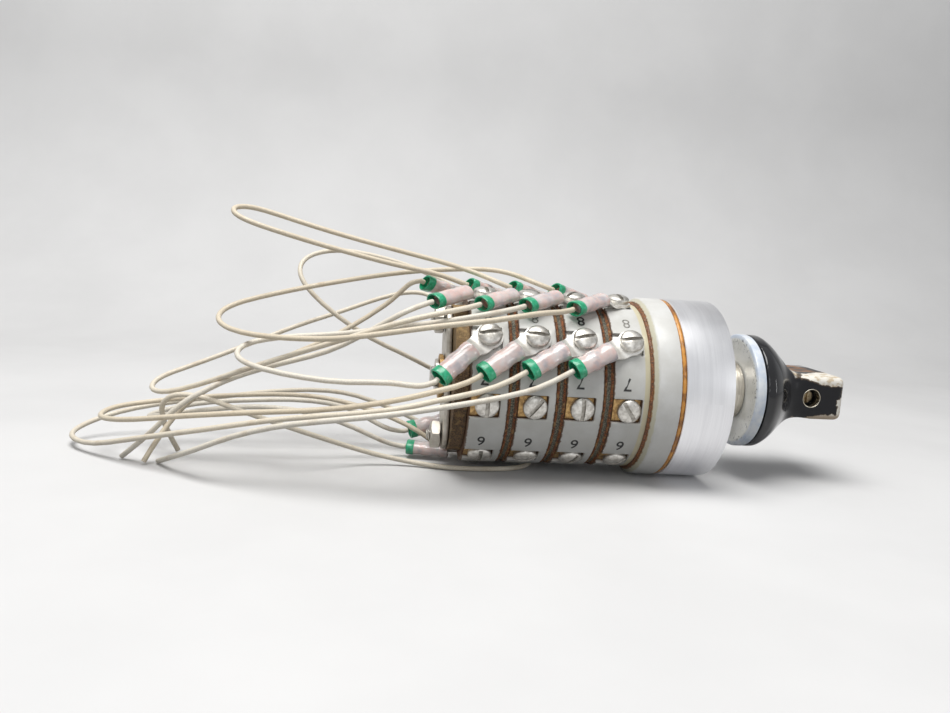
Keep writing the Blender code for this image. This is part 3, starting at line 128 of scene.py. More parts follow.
# Route of each wire, as in the CAD, in millimetres: along the shaft from the terminal
# screws of deck 1, away from the near side, and above the table. The first two entries
# are (terminal, deck) of the lugs that it joins, None for a bare end.
WIRE_ROUTES = (
    ((8, 1), (1, 3), (
        (-20, -27, 25), (-32.5, -24, 24), (-44.5, -20, 24.5), (-52.5, -16, 25.5),
        (-57, -12, 27), (-55.5, -8, 29), (-46, -7, 31), (-33.5, -9, 32.5), (-20, -14, 35.5),
        (-10.5, -18, 37.5), (-0.5, -20, 40))),
    ((8, 2), (4, 2), (
        (-11.5, -28.5, 24), (-19.5, -28, 21.5), (-34.5, -24, 18), (-52, -19, 15.5),
        (-67.5, -14, 13), (-82, -7, 10), (-90, 0, 9), (-88.5, 6, 10), (-78.5, 11, 11),
        (-65, 15, 12), (-45, 18, 12.5), (-33, 16, 11.5), (-20, 12, 8.5), (-11, 9.5, 4.5))),
    ((8, 3), (4, 3), (
        (-1.5, -27, 24), (-11.5, -29, 22), (-19.5, -30, 20), (-30, -28, 18),
        (-44.5, -24, 15.5), (-62.5, -18, 11), (-80, -9, 6), (-91.5, -1, 2.5), (-98.5, 6, 2.5),
        (-98, 13, 3.5), (-91, 18, 6), (-81, 21, 8), (-66.5, 23, 10), (-48, 24, 12.5),
        (-33.5, 24, 12.5), (-21, 23, 9), (-9.5, 20, 4.5), (-3, 18.5, 1.5), (1.5, 15, 0.7),
        (1.5, 11.5, 0.7))),
    ((8, 4), None, (
        (10, -27, 25), (1.5, -29, 23), (-7.5, -31, 21.5), (-19.5, -32.5, 19.5),
        (-32, -31.5, 17.5), (-44, -28, 15), (-55, -23, 11), (-64, -19, 6.5), (-74, -7.5, 0.7))),
    ((1, 4), (2, 4), (
        (11.5, -21, 41), (1, -23, 39), (-12, -23.5, 37), (-24.5, -22, 34.5), (-35, -19, 32.5),
        (-50, -12, 31.5), (-59.5, -5, 32), (-63.5, 0, 34), (-61, 4, 36.5), (-49.5, 8, 40),
        (-35, 10.5, 43.5), (-20, 12, 46.5), (-7.5, 13.5, 48), (5.5, 13.5, 48.5))),
    ((1, 2), (3, 2), (
        (-11.5, -19.5, 39.5), (-20.5, -20, 37), (-31, -18.5, 33), (-42, -13.5, 28.5),
        (-53.5, -11, 24), (-64.5, -5, 19), (-74.5, -1, 15.5), (-79.5, 3, 15.5),
        (-78.5, 6, 17.5), (-72, 9, 20), (-64.5, 12, 23), (-55, 16, 27), (-45.5, 20, 31),
        (-35.5, 24, 34.5), (-26.5, 27, 38), (-18.5, 28, 40.5), (-11.5, 28, 40.5))),
    ((1, 1), None, (
        (-20.5, -17, 38.5), (-27, -14, 34), (-35.5, -12.5, 29), (-47, -9.5, 25),
        (-58.5, -7, 20.5), (-68.5, -9, 15), (-75.5, -8, 7.5), (-83, -4.5, 0.7))),
    ((2, 2), (2, 3), (
        (-10.5, 4.5, 47), (-20.5, 3, 48.5), (-37.5, 1, 52), (-51.5, -1, 55.5), (-59.5, 0, 58),
        (-61, 4, 60), (-57, 8, 60.5), (-49, 9, 58.5), (-37, 9, 55.5), (-20.5, 9, 52),
        (-8, 9, 49.5), (1, 8.5, 47))),
    ((3, 3), (3, 4), (
        (-0.5, 27, 40.5), (-8.5, 29, 44.5), (-20, 29, 48.5), (-36.5, 27, 51),
        (-45.5, 23, 48.5), (-46.5, 19, 44.5), (-43, 17, 40), (-36.5, 17, 34.5),
        (-27, 18, 28.5), (-16, 21, 23.5), (-7.5, 25, 19), (1, 28, 19), (6, 27.5, 14.5),
        (11, 25, 12))),
    ((5, 1), (4, 1), (
        (-22, 4, 4), (-31, 2, 8.5), (-41.5, 0, 12), (-54.5, -1, 13), (-66, -1, 11.5),
        (-76, 1, 9.5), (-80.5, 5, 8), (-79, 9, 8.5), (-68.5, 10, 11), (-56.5, 11, 12),
        (-43, 11.5, 12.5), (-31.5, 13, 10.5))),
    ((2, 1), None, (
        (-20, 6, 41.5), (-27, 5, 36), (-36.5, 3, 30), (-47, 1, 25), (-58.5, -1, 20),
        (-68, -2, 14.5), (-73.5, -5, 7.5), (-77, -8.5, 0.7))),
    ((4, 4), None, (
        (15.5, 7, 0.7), (15.5, 2.5, 0.7), (13, -2.5, 0.7), (8.5, -5, 0.7), (0, -6, 0.7),
        (-8, -5.5, 0.7), (-15, -3, 1), (-25.5, -3, 3), (-35, -6, 6.5), (-44, -9, 10),
        (-56, -8, 13.5), (-65, -6, 16), (-72, -4, 16), (-75, -3, 14), (-74.5, -1, 8),
        (-72, 2.5, 0.7))),
)


# Places read from the frame

def corners(node):
    low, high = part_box(node)
    return Vector(low), Vector(high)


def span_of(node):
    """Rear and front of a node along the shaft."""
    low, high = corners(node)
    return low.x, high.x


HOUSING_LOW, HOUSING_HIGH = corners("front_housing")
HOUSING_REAR, HOUSING_FRONT = span_of("front_housing")
BODY_RADIUS = (HOUSING_HIGH.y - HOUSING_LOW.y) / 2
AXIS_Y = (HOUSING_LOW.y + HOUSING_HIGH.y) / 2
AXIS_Z = (HOUSING_LOW.z + HOUSING_HIGH.z) / 2
FIRST_SCREWS = span_of("deck_spacer_1")[0] - GAP - DECK_FRONT
LAST_FRONT = FIRST_SCREWS + (DECK_COUNT - 1) * DECK_PITCH + DECK_FRONT
COLLAR_REAR, COLLAR_FRONT = span_of("collar")
SKIRT_REAR, SKIRT_FRONT = span_of("knob_skirt")
BASE_REAR, CREST = span_of("knob_body")
ALONG = Vector((1, 0, 0))
UP = Vector((0, 0, 1))


def deck_place(deck):
    """Position along the shaft of a deck's terminal screws."""
    return FIRST_SCREWS + (deck - 1) * DECK_PITCH


def direction(degrees):
    angle = math.radians(degrees)
    return Vector((0, -math.cos(angle), math.sin(angle)))


def spot(x, radius, degrees):
    return Vector((x, AXIS_Y, AXIS_Z)) + direction(degrees) * radius


def terminal_angle(number):
    return FIRST_TERMINAL_ANGLE + (number - 1) * TERMINAL_STEP


def has_lug(number, deck):
    return number in LUG_LEAN and LUG_LEAN[number][deck - 1] is not None


def lug_line(number, deck):
    """Start, mouth and direction of a lug's barrel."""
    outward = direction(terminal_angle(number))
    lean = math.radians(LUG_LEAN[number][deck - 1])
    sideways = -direction(terminal_angle(number) + 90)
    flat = sideways * math.sin(lean) - ALONG * math.cos(lean)
    along = (flat - outward * BARREL_DIP[number]).normalized()
    height = DECK_RADIUS + (-LOW_BARREL_DROP if number == LOW_TERMINAL else BARREL_LIFT)
    start = spot(deck_place(deck), height, terminal_angle(number)) + flat * BARREL_START
    return start, start + along * BARREL_LENGTH, along


def frame_at(origin, along, side):
    """Matrix with Z along one direction and X along another, square to it."""
    z = along.normalized()
    x = (side - side.dot(z) * z).normalized()
    turn = Matrix((x, z.cross(x), z)).transposed().to_4x4()
    return Matrix.Translation(origin) @ turn


SHAFT_LINE = frame_at(Vector((0, AXIS_Y, AXIS_Z)), ALONG, UP)


# Materials

def maths(operation, swapped=False):
    """A method that adds a maths node with a signal and one more value."""
    def method(signal, other=0.0):
        first, second = (other, signal) if swapped else (signal, other)
        return signal.nodes.add("Math", {0: first, 1: second}, operation=operation)[0]
    return method


class Signal:
    """Output of a node. Arithmetic on it adds the nodes that it takes."""

    def __init__(self, nodes, socket):
        self.nodes, self.socket = nodes, socket

    __add__ = __radd__ = maths("ADD")
    __sub__, __rsub__ = maths("SUBTRACT"), maths("SUBTRACT", True)
    __mul__ = __rmul__ = maths("MULTIPLY")
    __truediv__, __abs__, fraction = maths("DIVIDE"), maths("ABSOLUTE"), maths("FRACT")
    over, under = maths("MAXIMUM"), maths("MINIMUM")
    root, angle_from = maths("SQRT"), maths("ARCTAN2")

    def step(self, low, high):
        """0 at low, 1 at high, smooth between."""
        return self.nodes.add("MapRange", {0: self, 1: low, 2: high},
                              interpolation_type="SMOOTHSTEP")[0]

    def mix(self, first, second):
        """The first colour where the signal is 0, the second where it is 1."""
        return self.nodes.add("Mix", {0: self, 6: first, 7: second}, (2,), data_type="RGBA")[0]


class Nodes:
    """A node tree with a few words for building it."""

    def __init__(self, owner, shader):
        owner.use_nodes = True
        self.tree = owner.node_tree
        self.shader = self.tree.nodes[shader]

    def feed(self, socket, value):
        if isinstance(value, Signal):
            self.tree.links.new(value.socket, socket)
        else:
            socket.default_value = (*value, 1.0) if socket.type == "RGBA" else value

    def set(self, socket, value):
        self.feed(self.shader.inputs[socket], value)

    def add(self, kind, inputs=(), outputs=(0,), **settings):
        """Add a node and give the outputs that are named."""
        node = self.tree.nodes.new("ShaderNode" + kind)
        for key, value in settings.items():
            setattr(node, key, value)
        for key, value in dict(inputs).items():
            self.feed(node.inputs[key], value)
        return [Signal(self, node.outputs[key]) for key in outputs]

    def seen(self):
        """1 for rays that show a thing to the camera, straight or by metal and glass."""
        kinds = ("Is Camera Ray", "Is Glossy Ray", "Is Transmission Ray")
        camera, glossy, glass = self.add("LightPath", outputs=kinds)
        return camera.over(glossy).over(glass)


class Surface(Nodes):
    """A Principled material. Sizes of noise and heights of bumps are millimetres."""

    def __init__(self, name, roughness=0.5, metallic=0.0, **settings):
        self.material = bpy.data.materials.new(name)
        super().__init__(self.material, "Principled BSDF")
        self.set("Roughness", roughness)
        self.set("Metallic", metallic)
        for key, value in settings.items():
            self.set(key.replace("_", " "), value)
        self.place = self.add("TexCoord", outputs=("Object",))[0]

    def noise(self, size, detail=3.0, rough=0.55, place=None):
        """Noise whose features are about one size across."""
        inputs = {"Vector": place or self.place, "Scale": 1 / (size * MM), "Detail": detail,
                  "Roughness": rough}
        return self.add("TexNoise", inputs)[0]

    def patches(self, size, first, second, low=0.35, high=0.7, detail=4.0, rough=0.55):
        """Two colours in soft patches."""
        return self.noise(size, detail, rough).step(low, high).mix(first, second)

    def from_shaft(self):
        """Place along the shaft, how far from it to the far side, and how far up."""
        x, y, z = self.add("SeparateXYZ", {0: self.place}, (0, 1, 2))
        return x, y - AXIS_Y, z - AXIS_Z

    def bumpy(self, height, distance):
        """Finish the material with its bumps."""
        self.set("Normal", self.add("Bump", {"Height": height, "Distance": distance * MM,
                                             "Strength": 1.0})[0])
        return self.material


def radius_of(aside, up):
    return (aside * aside + up * up).root()


def moulding_look():
    """Pale moulding with thin brown lines at its edges, a yellowed front strip, and painted shade
    in the terminal pockets below about 4 mm above the shaft.
    """
    look = Surface("deck_moulding", Specular_IOR_Level=0.4)
    along, aside, up = look.from_shaft()
    inside = ((along - (FIRST_SCREWS - DECK_REAR)) / DECK_PITCH).fraction() * DECK_PITCH
    edge = inside.under(DECK_REAR + DECK_FRONT - inside)
    ragged = edge - look.noise(0.9, 5.0) * (0.9 * MM)
    stain = 1.0 - ragged.step(-0.34 * MM, -0.14 * MM)
    # Painted shade: the pockets darken near their floor, only on the lower terminals; the brown
    # edge lines are real stains.
    pocket = 1.0 - radius_of(aside, up).step(19.3 * MM, 19.95 * MM)
    stains_and_shade = (stain * 0.85).over(pocket * up.step(7 * MM, 4 * MM))
    base = look.patches(6, (0.61, 0.605, 0.575), (0.69, 0.69, 0.67))
    strip = along.step(LAST_FRONT - 1.6 * MM, LAST_FRONT - 1.35 * MM)
    base = (strip * 0.85).mix(base, (0.66, 0.6, 0.4))
    specks = look.noise(0.5, 2.0).step(0.7, 0.78)
    base = (specks * 0.35).mix(base, (0.3, 0.24, 0.17))
    look.set("Base Color", stains_and_shade.mix(base, (0.12, 0.06, 0.028)))
    look.set("Roughness", 0.34 + stains_and_shade * 0.35)
    return look.bumpy(look.noise(0.35, 4.0), 0.012)


def laminate_look():
    """Rust-brown crust at a spacer's edges and dark laminate between them, with painted light
    making the rear spacer paler tan towards its top.
    """
    look = Surface("spacer_laminate")
    along, _, up = look.from_shaft()
    last_edge = FIRST_SCREWS - DECK_REAR
    inside = ((along - (FIRST_SCREWS + DECK_FRONT)) / DECK_PITCH).fraction() * DECK_PITCH
    away = abs(inside - (DECK_PITCH - DECK_FRONT - DECK_REAR) / 2)
    grains = look.noise(0.3, 4.0, 0.7)
    behind = along.step(last_edge + GAP, last_edge - GAP)
    crusted = (away + grains * (1.1 * MM)).step(0.9 * MM, 1.1 * MM).over(behind)
    light = grains.step(0.42, 0.6)
    rust = light.mix((0.045, 0.018, 0.008), (0.36, 0.12, 0.035))
    rust = behind.mix(rust, light.mix((0.07, 0.045, 0.025), (0.24, 0.145, 0.075)))
    tan = look.noise(1.3, 4.0).step(0.5, 0.66)
    # Painted light: the rear spacer turns paler tan towards its top, where light falls; the tan
    # patches are the crust's own colour.
    share = tan * 0.55 + up.step(0.0, 14 * MM) * behind * 0.4
    rust = share.mix(rust, (0.45, 0.3, 0.13))
    cloth = grains.step(0.42, 0.62).mix((0.055, 0.055, 0.04), (0.3, 0.285, 0.225))
    look.set("Base Color", crusted.mix(cloth, rust))
    look.set("Roughness", 0.5 + grains * 0.4)
    return look.bumpy(grains, 0.22)


def metal_look(name, light, dark, roughness, size=0.8, specks=0.0):
    """Worn plated metal with dull patches, fine scratches and perhaps rust."""
    look = Surface(name, metallic=1.0)
    patches = look.noise(size, 5.0)
    base = patches.step(0.35, 0.7).mix(light, dark)
    if specks:
        rust = look.noise(size * 0.6, 4.0).step(0.6, 0.72) * specks
        base = rust.mix(base, (0.14, 0.075, 0.04))
    look.set("Base Color", base)
    look.set("Roughness", roughness + patches * 0.22)
    return look.bumpy(look.noise(0.12), 0.008)


def turned_look(name, light, dark, roughness):
    """Metal with the fine rings that a lathe leaves."""
    look = Surface(name, metallic=1.0)
    along, aside, up = look.from_shaft()
    around = up.angle_from(aside) * (0.2 * MM)
    rings = look.add("CombineXYZ", {0: along, 1: radius_of(aside, up), 2: around})[0]
    fine = look.noise(0.07, 2.0, place=rings)
    tone = fine * 0.55 + look.noise(0.9, place=rings) * 0.45
    look.set("Base Color", tone.step(0.34, 0.66).mix(dark, light))
    look.set("Roughness", roughness + look.noise(7, 4.0) * 0.16 + fine * 0.1)
    return look.bumpy(tone, 0.006)


def collar_look():
    """Off-white satin paint, olive on the rear chamfer, brown where it meets the seal."""
    look = Surface("collar_paint", Coat_Weight=0.15)
    along, _, _ = look.from_shaft()
    ragged = look.noise(0.8, 5.0) * (0.6 * MM)
    rear = along - COLLAR_REAR + ragged
    front = COLLAR_FRONT - along + ragged
    base = look.patches(5, (0.66, 0.655, 0.63), (0.73, 0.73, 0.715))
    olive = 1.0 - rear.step(1.0 * MM, 1.35 * MM)
    base = (olive * 0.8).mix(base, (0.56, 0.53, 0.38))
    residue = look.patches(0.4, (0.33, 0.16, 0.05), (0.11, 0.05, 0.022), 0.4, 0.62)
    base = rear.step(0.5 * MM, 0.28 * MM).mix(base, residue)
    look.set("Base Color", front.step(0.5 * MM, 0.3 * MM).mix(base, residue))
    look.set("Roughness", 0.3 + look.noise(3) * 0.15)
    return look.bumpy(look.noise(0.5), 0.012)


def seal_look():
    """Old orange sealant, darker in patches where dirt has stuck."""
    look = Surface("seal_rubber", Coat_Weight=0.3)
    patches = look.noise(2.4, 4.0)
    look.set("Base Color", patches.step(0.36, 0.6).mix((0.3, 0.11, 0.025), (0.72, 0.33, 0.06)))
    look.set("Roughness", 0.25 + patches * 0.25)
    return look.bumpy(patches, 0.06)


def crust_look():
    """Dried rust-brown varnish in grains."""
    look = Surface("seal_rubber", Coat_Weight=0.15)
    grains = look.noise(0.35, 4.0, 0.7)
    look.set("Base Color", grains.step(0.42, 0.6).mix((0.08, 0.03, 0.013), (0.34, 0.13, 0.04)))
    look.set("Roughness", 0.3 + grains * 0.4)
    return look.bumpy(grains, 0.2)


def sleeve_look():
    """Milky pink insulating sleeve over a dull metal barrel."""
    look = Surface("lug_sleeve", 0.2, Transmission_Weight=0.1, Coat_Weight=0.6,
                   Subsurface_Weight=0.3, Subsurface_Scale=1.0 * MM,
                   Subsurface_Radius=(1.0, 0.6, 0.5))
    base = look.patches(3.5, (0.8, 0.73, 0.72), (0.8, 0.58, 0.53), 0.3, 0.7, 2.0)
    veil = look.noise(2.5, 2.0).step(0.45, 0.75)
    look.set("Base Color", veil.mix(base, (0.54, 0.5, 0.53)))
    return look.bumpy(look.noise(1.1), 0.08)


def band_look():
    look = Surface("lug_band", 0.3, Coat_Weight=0.3)
    patches = look.noise(0.9, 4.0)
    look.set("Base Color", patches.step(0.3, 0.7).mix((0.008, 0.29, 0.13), (0.035, 0.47, 0.25)))
    return look.bumpy(patches, 0.05)


def wire_look(name, tint):
    """Cream braid under a thin clear coat, browned in places."""
    look = Surface(name, Coat_Weight=0.1, Specular_IOR_Level=0.35)
    braid = look.add("TexVoronoi", {"Vector": look.place, "Scale": 1 / (0.28 * MM)})[0]
    dirt = look.noise(4, 5.0).step(0.52, 0.78)
    clean = braid.step(0.1, 0.7).mix(tint, [0.86 * c for c in tint])
    look.set("Base Color", (dirt * 0.4).mix(clean, (0.5, 0.36, 0.22)))
    look.set("Roughness", 0.42 + dirt * 0.25)
    return look.bumpy(1.0 - braid, 0.02)


def skirt_look():
    """Frosted clear plastic, white with flaking paint behind and bluish at its rim."""
    look = Surface("skirt_plastic", Transmission_Weight=0.05, IOR=1.49, Coat_Weight=0.3)
    _, aside, up = look.from_shaft()
    radius = radius_of(aside, up)
    cloud = look.noise(5, 5.0)
    base = cloud.step(0.35, 0.65).mix((0.78, 0.78, 0.71), (0.9, 0.9, 0.85))
    edge = look.patches(3, (0.62, 0.7, 0.82), (0.82, 0.86, 0.9), 0.35, 0.65)
    base = radius.step(12.9 * MM, 13.6 * MM).mix(base, edge)
    flecks = look.noise(1.1, 5.0, 0.75).step(0.57, 0.61)
    ring = radius.step(9.5 * MM, 12.6 * MM) * (1.0 - radius.step(13.3 * MM, 14.0 * MM))
    look.set("Base Color", (flecks * ring).mix(base, (0.04, 0.04, 0.05)))
    look.set("Roughness", 0.2 + cloud * 0.3)
    return look.bumpy(look.noise(0.4), 0.02)


def knob_look():
    """Glossy black, rubbed down to cream and copper along the bar's edges; the cream band along the
    near face's top edge is wear and a painted highlight.
    """
    look = Surface("black_paint", Specular_IOR_Level=0.25)
    along, aside, up = look.from_shaft()
    end = CREST - along                # distances inward from each face of the bar
    near, far = aside + BAR_BLUNT, BAR_POINT - aside
    top, bottom = BAR_THICK / 2 - up, BAR_THICK / 2 + up
    chips = look.noise(2.0, 6.0, 0.65) - 0.5
    to_crest = end.step(13.0 * MM, 1.5 * MM)
    low = up.step(1.5 * MM, -1.5 * MM)

    # Worn band of each edge, in millimetres: the two faces, the weight of the second,
    # the band's width, what it grows by and with what, and how ragged it is
    # The first band, along the top edge of the near face, is wear and a painted highlight.
    worn = None
    for first, second, lean, reach, growth, extra, ragged in (
            (top, near, 0.3, 0.85, to_crest, 1.6, 2.0), (end, near, 0.7, 0.6, low, 1.2, 4.0),
            (bottom, near, 0.25, 0.3, to_crest, 1.3, 3.0), (end, top, 0.8, 0.6, to_crest, 0.4, 4.5),
            (end, bottom, 0.9, 0.4, to_crest, 0.3, 4.5), (end, far, 0.9, 0.4, to_crest, 0.2, 4.5),
            (top, far, 0.5, 0.2, to_crest, 0.5, 4.5), (bottom, far, 0.9, 0.2, to_crest, 0.3, 4.5)):
        grown = growth * (extra * MM) + chips * (ragged * MM) + reach * MM
        band = grown - (first + second * lean)
        worn = worn.over(band) if worn else band
    on_bar = end.step(13.6 * MM, 12.4 * MM)
    bare_and_highlight = worn.step(0.0, 0.14 * MM) * on_bar
    border = worn.step(-0.28 * MM, 0.0) * on_bar
    black = look.noise(2.5, 4.0).mix((0.005, 0.005, 0.006), (0.013, 0.013, 0.016))
    stretched = look.add("Mapping", {0: look.place, 3: (0.25, 1.0, 1.0)})[0]
    streaks = look.noise(1.1, 5.0, place=stretched)
    copper = streaks.step(0.42, 0.6).mix((0.46, 0.29, 0.18), (0.24, 0.13, 0.075))
    # Cream of the near-side bands; along the near face's top edge it is partly a painted highlight.
    cream = look.patches(1.6, (0.86, 0.83, 0.76), (0.62, 0.52, 0.38), 0.45, 0.62)
    turn = near.step(6.5 * MM, 8.0 * MM)
    metal = turn.mix(up.step(-3.5 * MM, -4.8 * MM).mix(cream, (0.56, 0.45, 0.34)), copper)
    face = top.step(0.6 * MM, 0.3 * MM) * turn
    flaked = streaks.step(0.47, 0.53) * end.step(2.5 * MM, 5 * MM)
    bare_and_highlight = bare_and_highlight.over(face * flaked * on_bar)
    look.set("Base Color", bare_and_highlight.mix(border.mix(black, (0.1, 0.07, 0.045)), metal))
    inner = radius_of(aside, up).step(11.5 * MM, 9.0 * MM)
    gloss = look.noise(3, 4.0) * 0.14 + (0.12 + inner * 0.2)
    look.set("Roughness", gloss + bare_and_highlight * 0.3)
    look.set("Coat Weight", 0.7 - bare_and_highlight.over(inner) * 0.65)
    return look.bumpy(look.noise(0.5) * 0.3 - bare_and_highlight, 0.03)


def plain_look(name, light, dark, roughness, size=2.0, **settings):
    look = Surface(name, roughness, **settings)
    look.set("Base Color", look.patches(size, light, dark, 0.35, 0.65))
    return look.bumpy(look.noise(size / 6), 0.02)


def floor_look():
    """Floor that shows pale and throws back less light on the switch."""
    look = Surface("floor", 0.75)
    pale = look.patches(60, (0.72, 0.72, 0.725), (0.76, 0.76, 0.765), 0.3, 0.7)
    look.set("Base Color", look.seen().mix(FLOOR_BOUNCE, pale))
    return look.material


# Building


def near(radius, x, *offsets):
    """Profile points by their offsets, in millimetres, from one radius and place."""
    return [(radius + out * MM, x + run * MM) for out, run in offsets]


def settle(item, angle=32.0):
    """Apply an object's modifiers and shade it smooth between its sharp edges."""
    graph = bpy.context.evaluated_depsgraph_get()
    mesh = bpy.data.meshes.new_from_object(item.evaluated_get(graph))
    item.modifiers.clear()
    item.data = mesh
    mesh.shade_smooth()
    mesh.set_sharp_from_angle(angle=math.radians(angle))
    return item


def new_object(name, data):
    item = bpy.data.objects.new(name, data)
    bpy.context.scene.collection.objects.link(item)
    return item


def new_piece(name, mesh, look, body="body"):
    item = new_object(name, mesh)
    mesh.materials.append(look)
    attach(item, body)
    return item


def mesh_of(shell, name="mesh"):
    """Mesh of a bmesh that isn't needed any more."""
    mesh = bpy.data.meshes.new(name)
    shell.to_mesh(mesh)
    shell.free()
    return mesh


def lathe_mesh(profile, sides, matrix=None, closed=True):
    """Mesh of (radius, height) points turned round Z; open ends meet the axis."""
    shell = bmesh.new()
    rings = []
    for radius, height in profile:
        if radius == 0:
            rings.append([shell.verts.new((0, 0, height))] * sides)
            continue
        angles = [2 * math.pi * i / sides for i in range(sides)]
        rings.append([shell.verts.new((radius * math.cos(a), radius * math.sin(a), height))
                      for a in angles])
    pairs = list(zip(rings, rings[1:] + rings[:1]))
    for low, high in pairs if closed else pairs[:-1]:
        for i in range(sides):
            j = (i + 1) % sides
            corner = list(dict.fromkeys([low[i], low[j], high[j], high[i]]))
            if len(corner) > 2:
                shell.faces.new(corner)
    bmesh.ops.recalc_face_normals(shell, faces=shell.faces)
    if matrix is not None:
        shell.transform(matrix)
    return mesh_of(shell)


def roughen(mesh, depth, seed):
    """Ragged rim: move the outer points in and out by waves and by seeded grains."""
    grains = np.random.default_rng(seed).uniform(-1, 1, len(mesh.vertices))
    for vertex, grain in zip(mesh.vertices, grains):
        y, z = vertex.co.y - AXIS_Y, vertex.co.z - AXIS_Z
        angle = math.atan2(z, y)
        wave = (math.sin(23 * angle + seed) + math.sin(41 * angle + 2 * seed)
                + math.sin(9 * angle + 3 * seed + 900 * vertex.co.x) + 1.6 * grain) / 4
        radius = math.hypot(y, z)
        scale = 1 + depth * wave / radius if radius > 14 * MM else 1
        vertex.co.y = AXIS_Y + y * scale
        vertex.co.z = AXIS_Z + z * scale


def turned(name, profile, look, sides=128, body="body", place=SHAFT_LINE, closed=True,
           ragged=None):
    """A piece turned from (radius, x) points. A ragged one gives its depth and seed."""
    mesh = lathe_mesh(profile, sides, place, closed)
    if ragged:
        roughen(mesh, *ragged)
    return settle(new_piece(name, mesh, look, body), 60 if ragged else 32)


def soften(item, width):
    edge = item.modifiers.new("edges", "BEVEL")
    edge.width = width
    edge.segments = 2
    edge.limit_method = "ANGLE"
    edge.angle_limit = math.radians(35)


def box_matrix(place, size):
    return place @ Matrix.Diagonal((*size, 1))


def boxes_mesh(boxes):
    """Mesh of several boxes, each a size and a matrix."""
    shell = bmesh.new()
    for size, matrix in boxes:
        bmesh.ops.create_cube(shell, size=1, matrix=box_matrix(matrix, size))
    return mesh_of(shell)


def carve(item, mesh, operation="DIFFERENCE"):
    """Cut a mesh out of an object, or join it on, at once."""
    helper = new_object("helper", mesh)
    step = item.modifiers.new("carve", "BOOLEAN")
    step.operation = operation
    step.object = helper
    step.solver = "EXACT"
    bpy.context.view_layer.update()
    settle(item)
    bpy.data.objects.remove(helper)
    return item


# Camera, as calibrated on the photograph

CAMERA_PLACE = (-24.4 * MM, -193.857 * MM, 32.814 * MM)   # from the shaft at deck 1's screws
CAMERA_ANGLES = (81.9835, -3.6637, -6.3538)

camera = new_object("camera", bpy.data.cameras.new("camera"))
camera.location = Vector((FIRST_SCREWS, AXIS_Y, AXIS_Z)) + Vector(CAMERA_PLACE)
camera.rotation_euler = [math.radians(angle) for angle in CAMERA_ANGLES]
camera.data.lens = 30.316
camera.data.sensor_fit = "HORIZONTAL"
camera.data.sensor_width = 36.0
camera.data.clip_start = 0.01
bpy.context.scene.camera = camera


# Wires

WIRE_TINTS = ((0.9, 0.82, 0.68), (0.92, 0.86, 0.75), (0.84, 0.74, 0.58))


def whole_route(first, last, points):
    """A wire's route with its straight runs out of the lugs."""
    _, mouth, out = lug_line(*first)
    route = [mouth + out * GAP, mouth + out * WIRE_LEAD]
    origin = Vector((FIRST_SCREWS, AXIS_Y, 0))
    route += [origin + Vector(point) * MM for point in points]
    if last:
        _, mouth, out = lug_line(*last)
        route += [mouth + out * WIRE_LEAD, mouth + out * GAP]
    return route


def smooth_line(route):
    """Evenly spaced points on a smooth line, with its tight corners eased."""
    before, after = [route[0]] + route[:-1], route[1:] + [route[-1]]
    headings = [(b - a).normalized() for a, b in zip(before, after)]
    line = [route[0]]
    for i in range(len(route) - 1):
        start, end = route[i], route[i + 1]
        reach = (end - start).length / 3
        line += interpolate_bezier(start, start + headings[i] * reach,
                                   end - headings[i + 1] * reach, end, 16)[1:]
    spots = np.array(line)
    run = np.concatenate([[0], np.cumsum(np.linalg.norm(np.diff(spots, axis=0), axis=1))])
    marks = np.linspace(0, run[-1], round(run[-1] / WIRE_STEP) + 1)
    even = np.stack([np.interp(marks, run, spots[:, axis]) for axis in range(3)], axis=1)
    for _ in range(WIRE_EASING):
        even[2:-2] = (even[1:-3] + 2 * even[2:-2] + even[3:-1]) / 4
    return [Vector(place) for place in even]


def thinned(line):
    """Keep a point where the line has turned or run far enough since the last."""
    kept = [line[0]]
    heading = line[1] - line[0]
    for here, after in zip(line[1:], line[2:]):
        turned_far = heading.angle(after - here) > math.radians(WIRE_TURN)
        if turned_far or (here - kept[-1]).length > WIRE_RUN:
            kept.append(here)
            heading = after - here
    return kept + [line[-1]]


def make_wires():
    looks = [wire_look(f"wire_coat_{i}", tint) for i, tint in enumerate(WIRE_TINTS, 1)]
    for index, (first, last, points) in enumerate(WIRE_ROUTES, 1):
        line = smooth_line(whole_route(first, last, points))
        kept = thinned(line)
        curve = bpy.data.curves.new(f"wire_{index}_coat", "CURVE")
        curve.dimensions = "3D"
        curve.bevel_depth = WIRE_DIAMETER / 2
        curve.bevel_resolution = 3
        curve.use_fill_caps = True
        spline = curve.splines.new("POLY")
        spline.points.add(len(kept) - 1)
        for point, place in zip(spline.points, kept):
            point.co = (*place, 1)
        spline.use_smooth = True
        wire = new_object(curve.name, curve)
        curve.materials.append(looks[index % len(looks)])
        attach(wire, "body")
        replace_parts(wire, f"wire_{index}")


make_wires()


# Decks

MOULDING = moulding_look()
NICKEL = metal_look("plated_steel", (0.68, 0.66, 0.62), (0.43, 0.41, 0.375), 0.3, 1.0, 0.3)
# Darker metal for the faces inside the screw slots: painted shade in the slots.
SLOT_SHADE = metal_look("slot_shade", (0.48, 0.46, 0.42), (0.3, 0.28, 0.25), 0.42)
BRASS = metal_look("brass", (0.54, 0.36, 0.16), (0.26, 0.155, 0.07), 0.4, specks=0.5)
TIN = metal_look("lug_tin", (0.84, 0.83, 0.8), (0.68, 0.66, 0.62), 0.42, 2.0)
SLEEVE = sleeve_look()
BAND = band_look()
INK = plain_look("digit_ink", (0.012, 0.012, 0.014), (0.05, 0.048, 0.045), 0.5)
WORN_INK = plain_look("digit_worn", (0.1, 0.095, 0.09), (0.32, 0.31, 0.28), 0.6, 0.4)

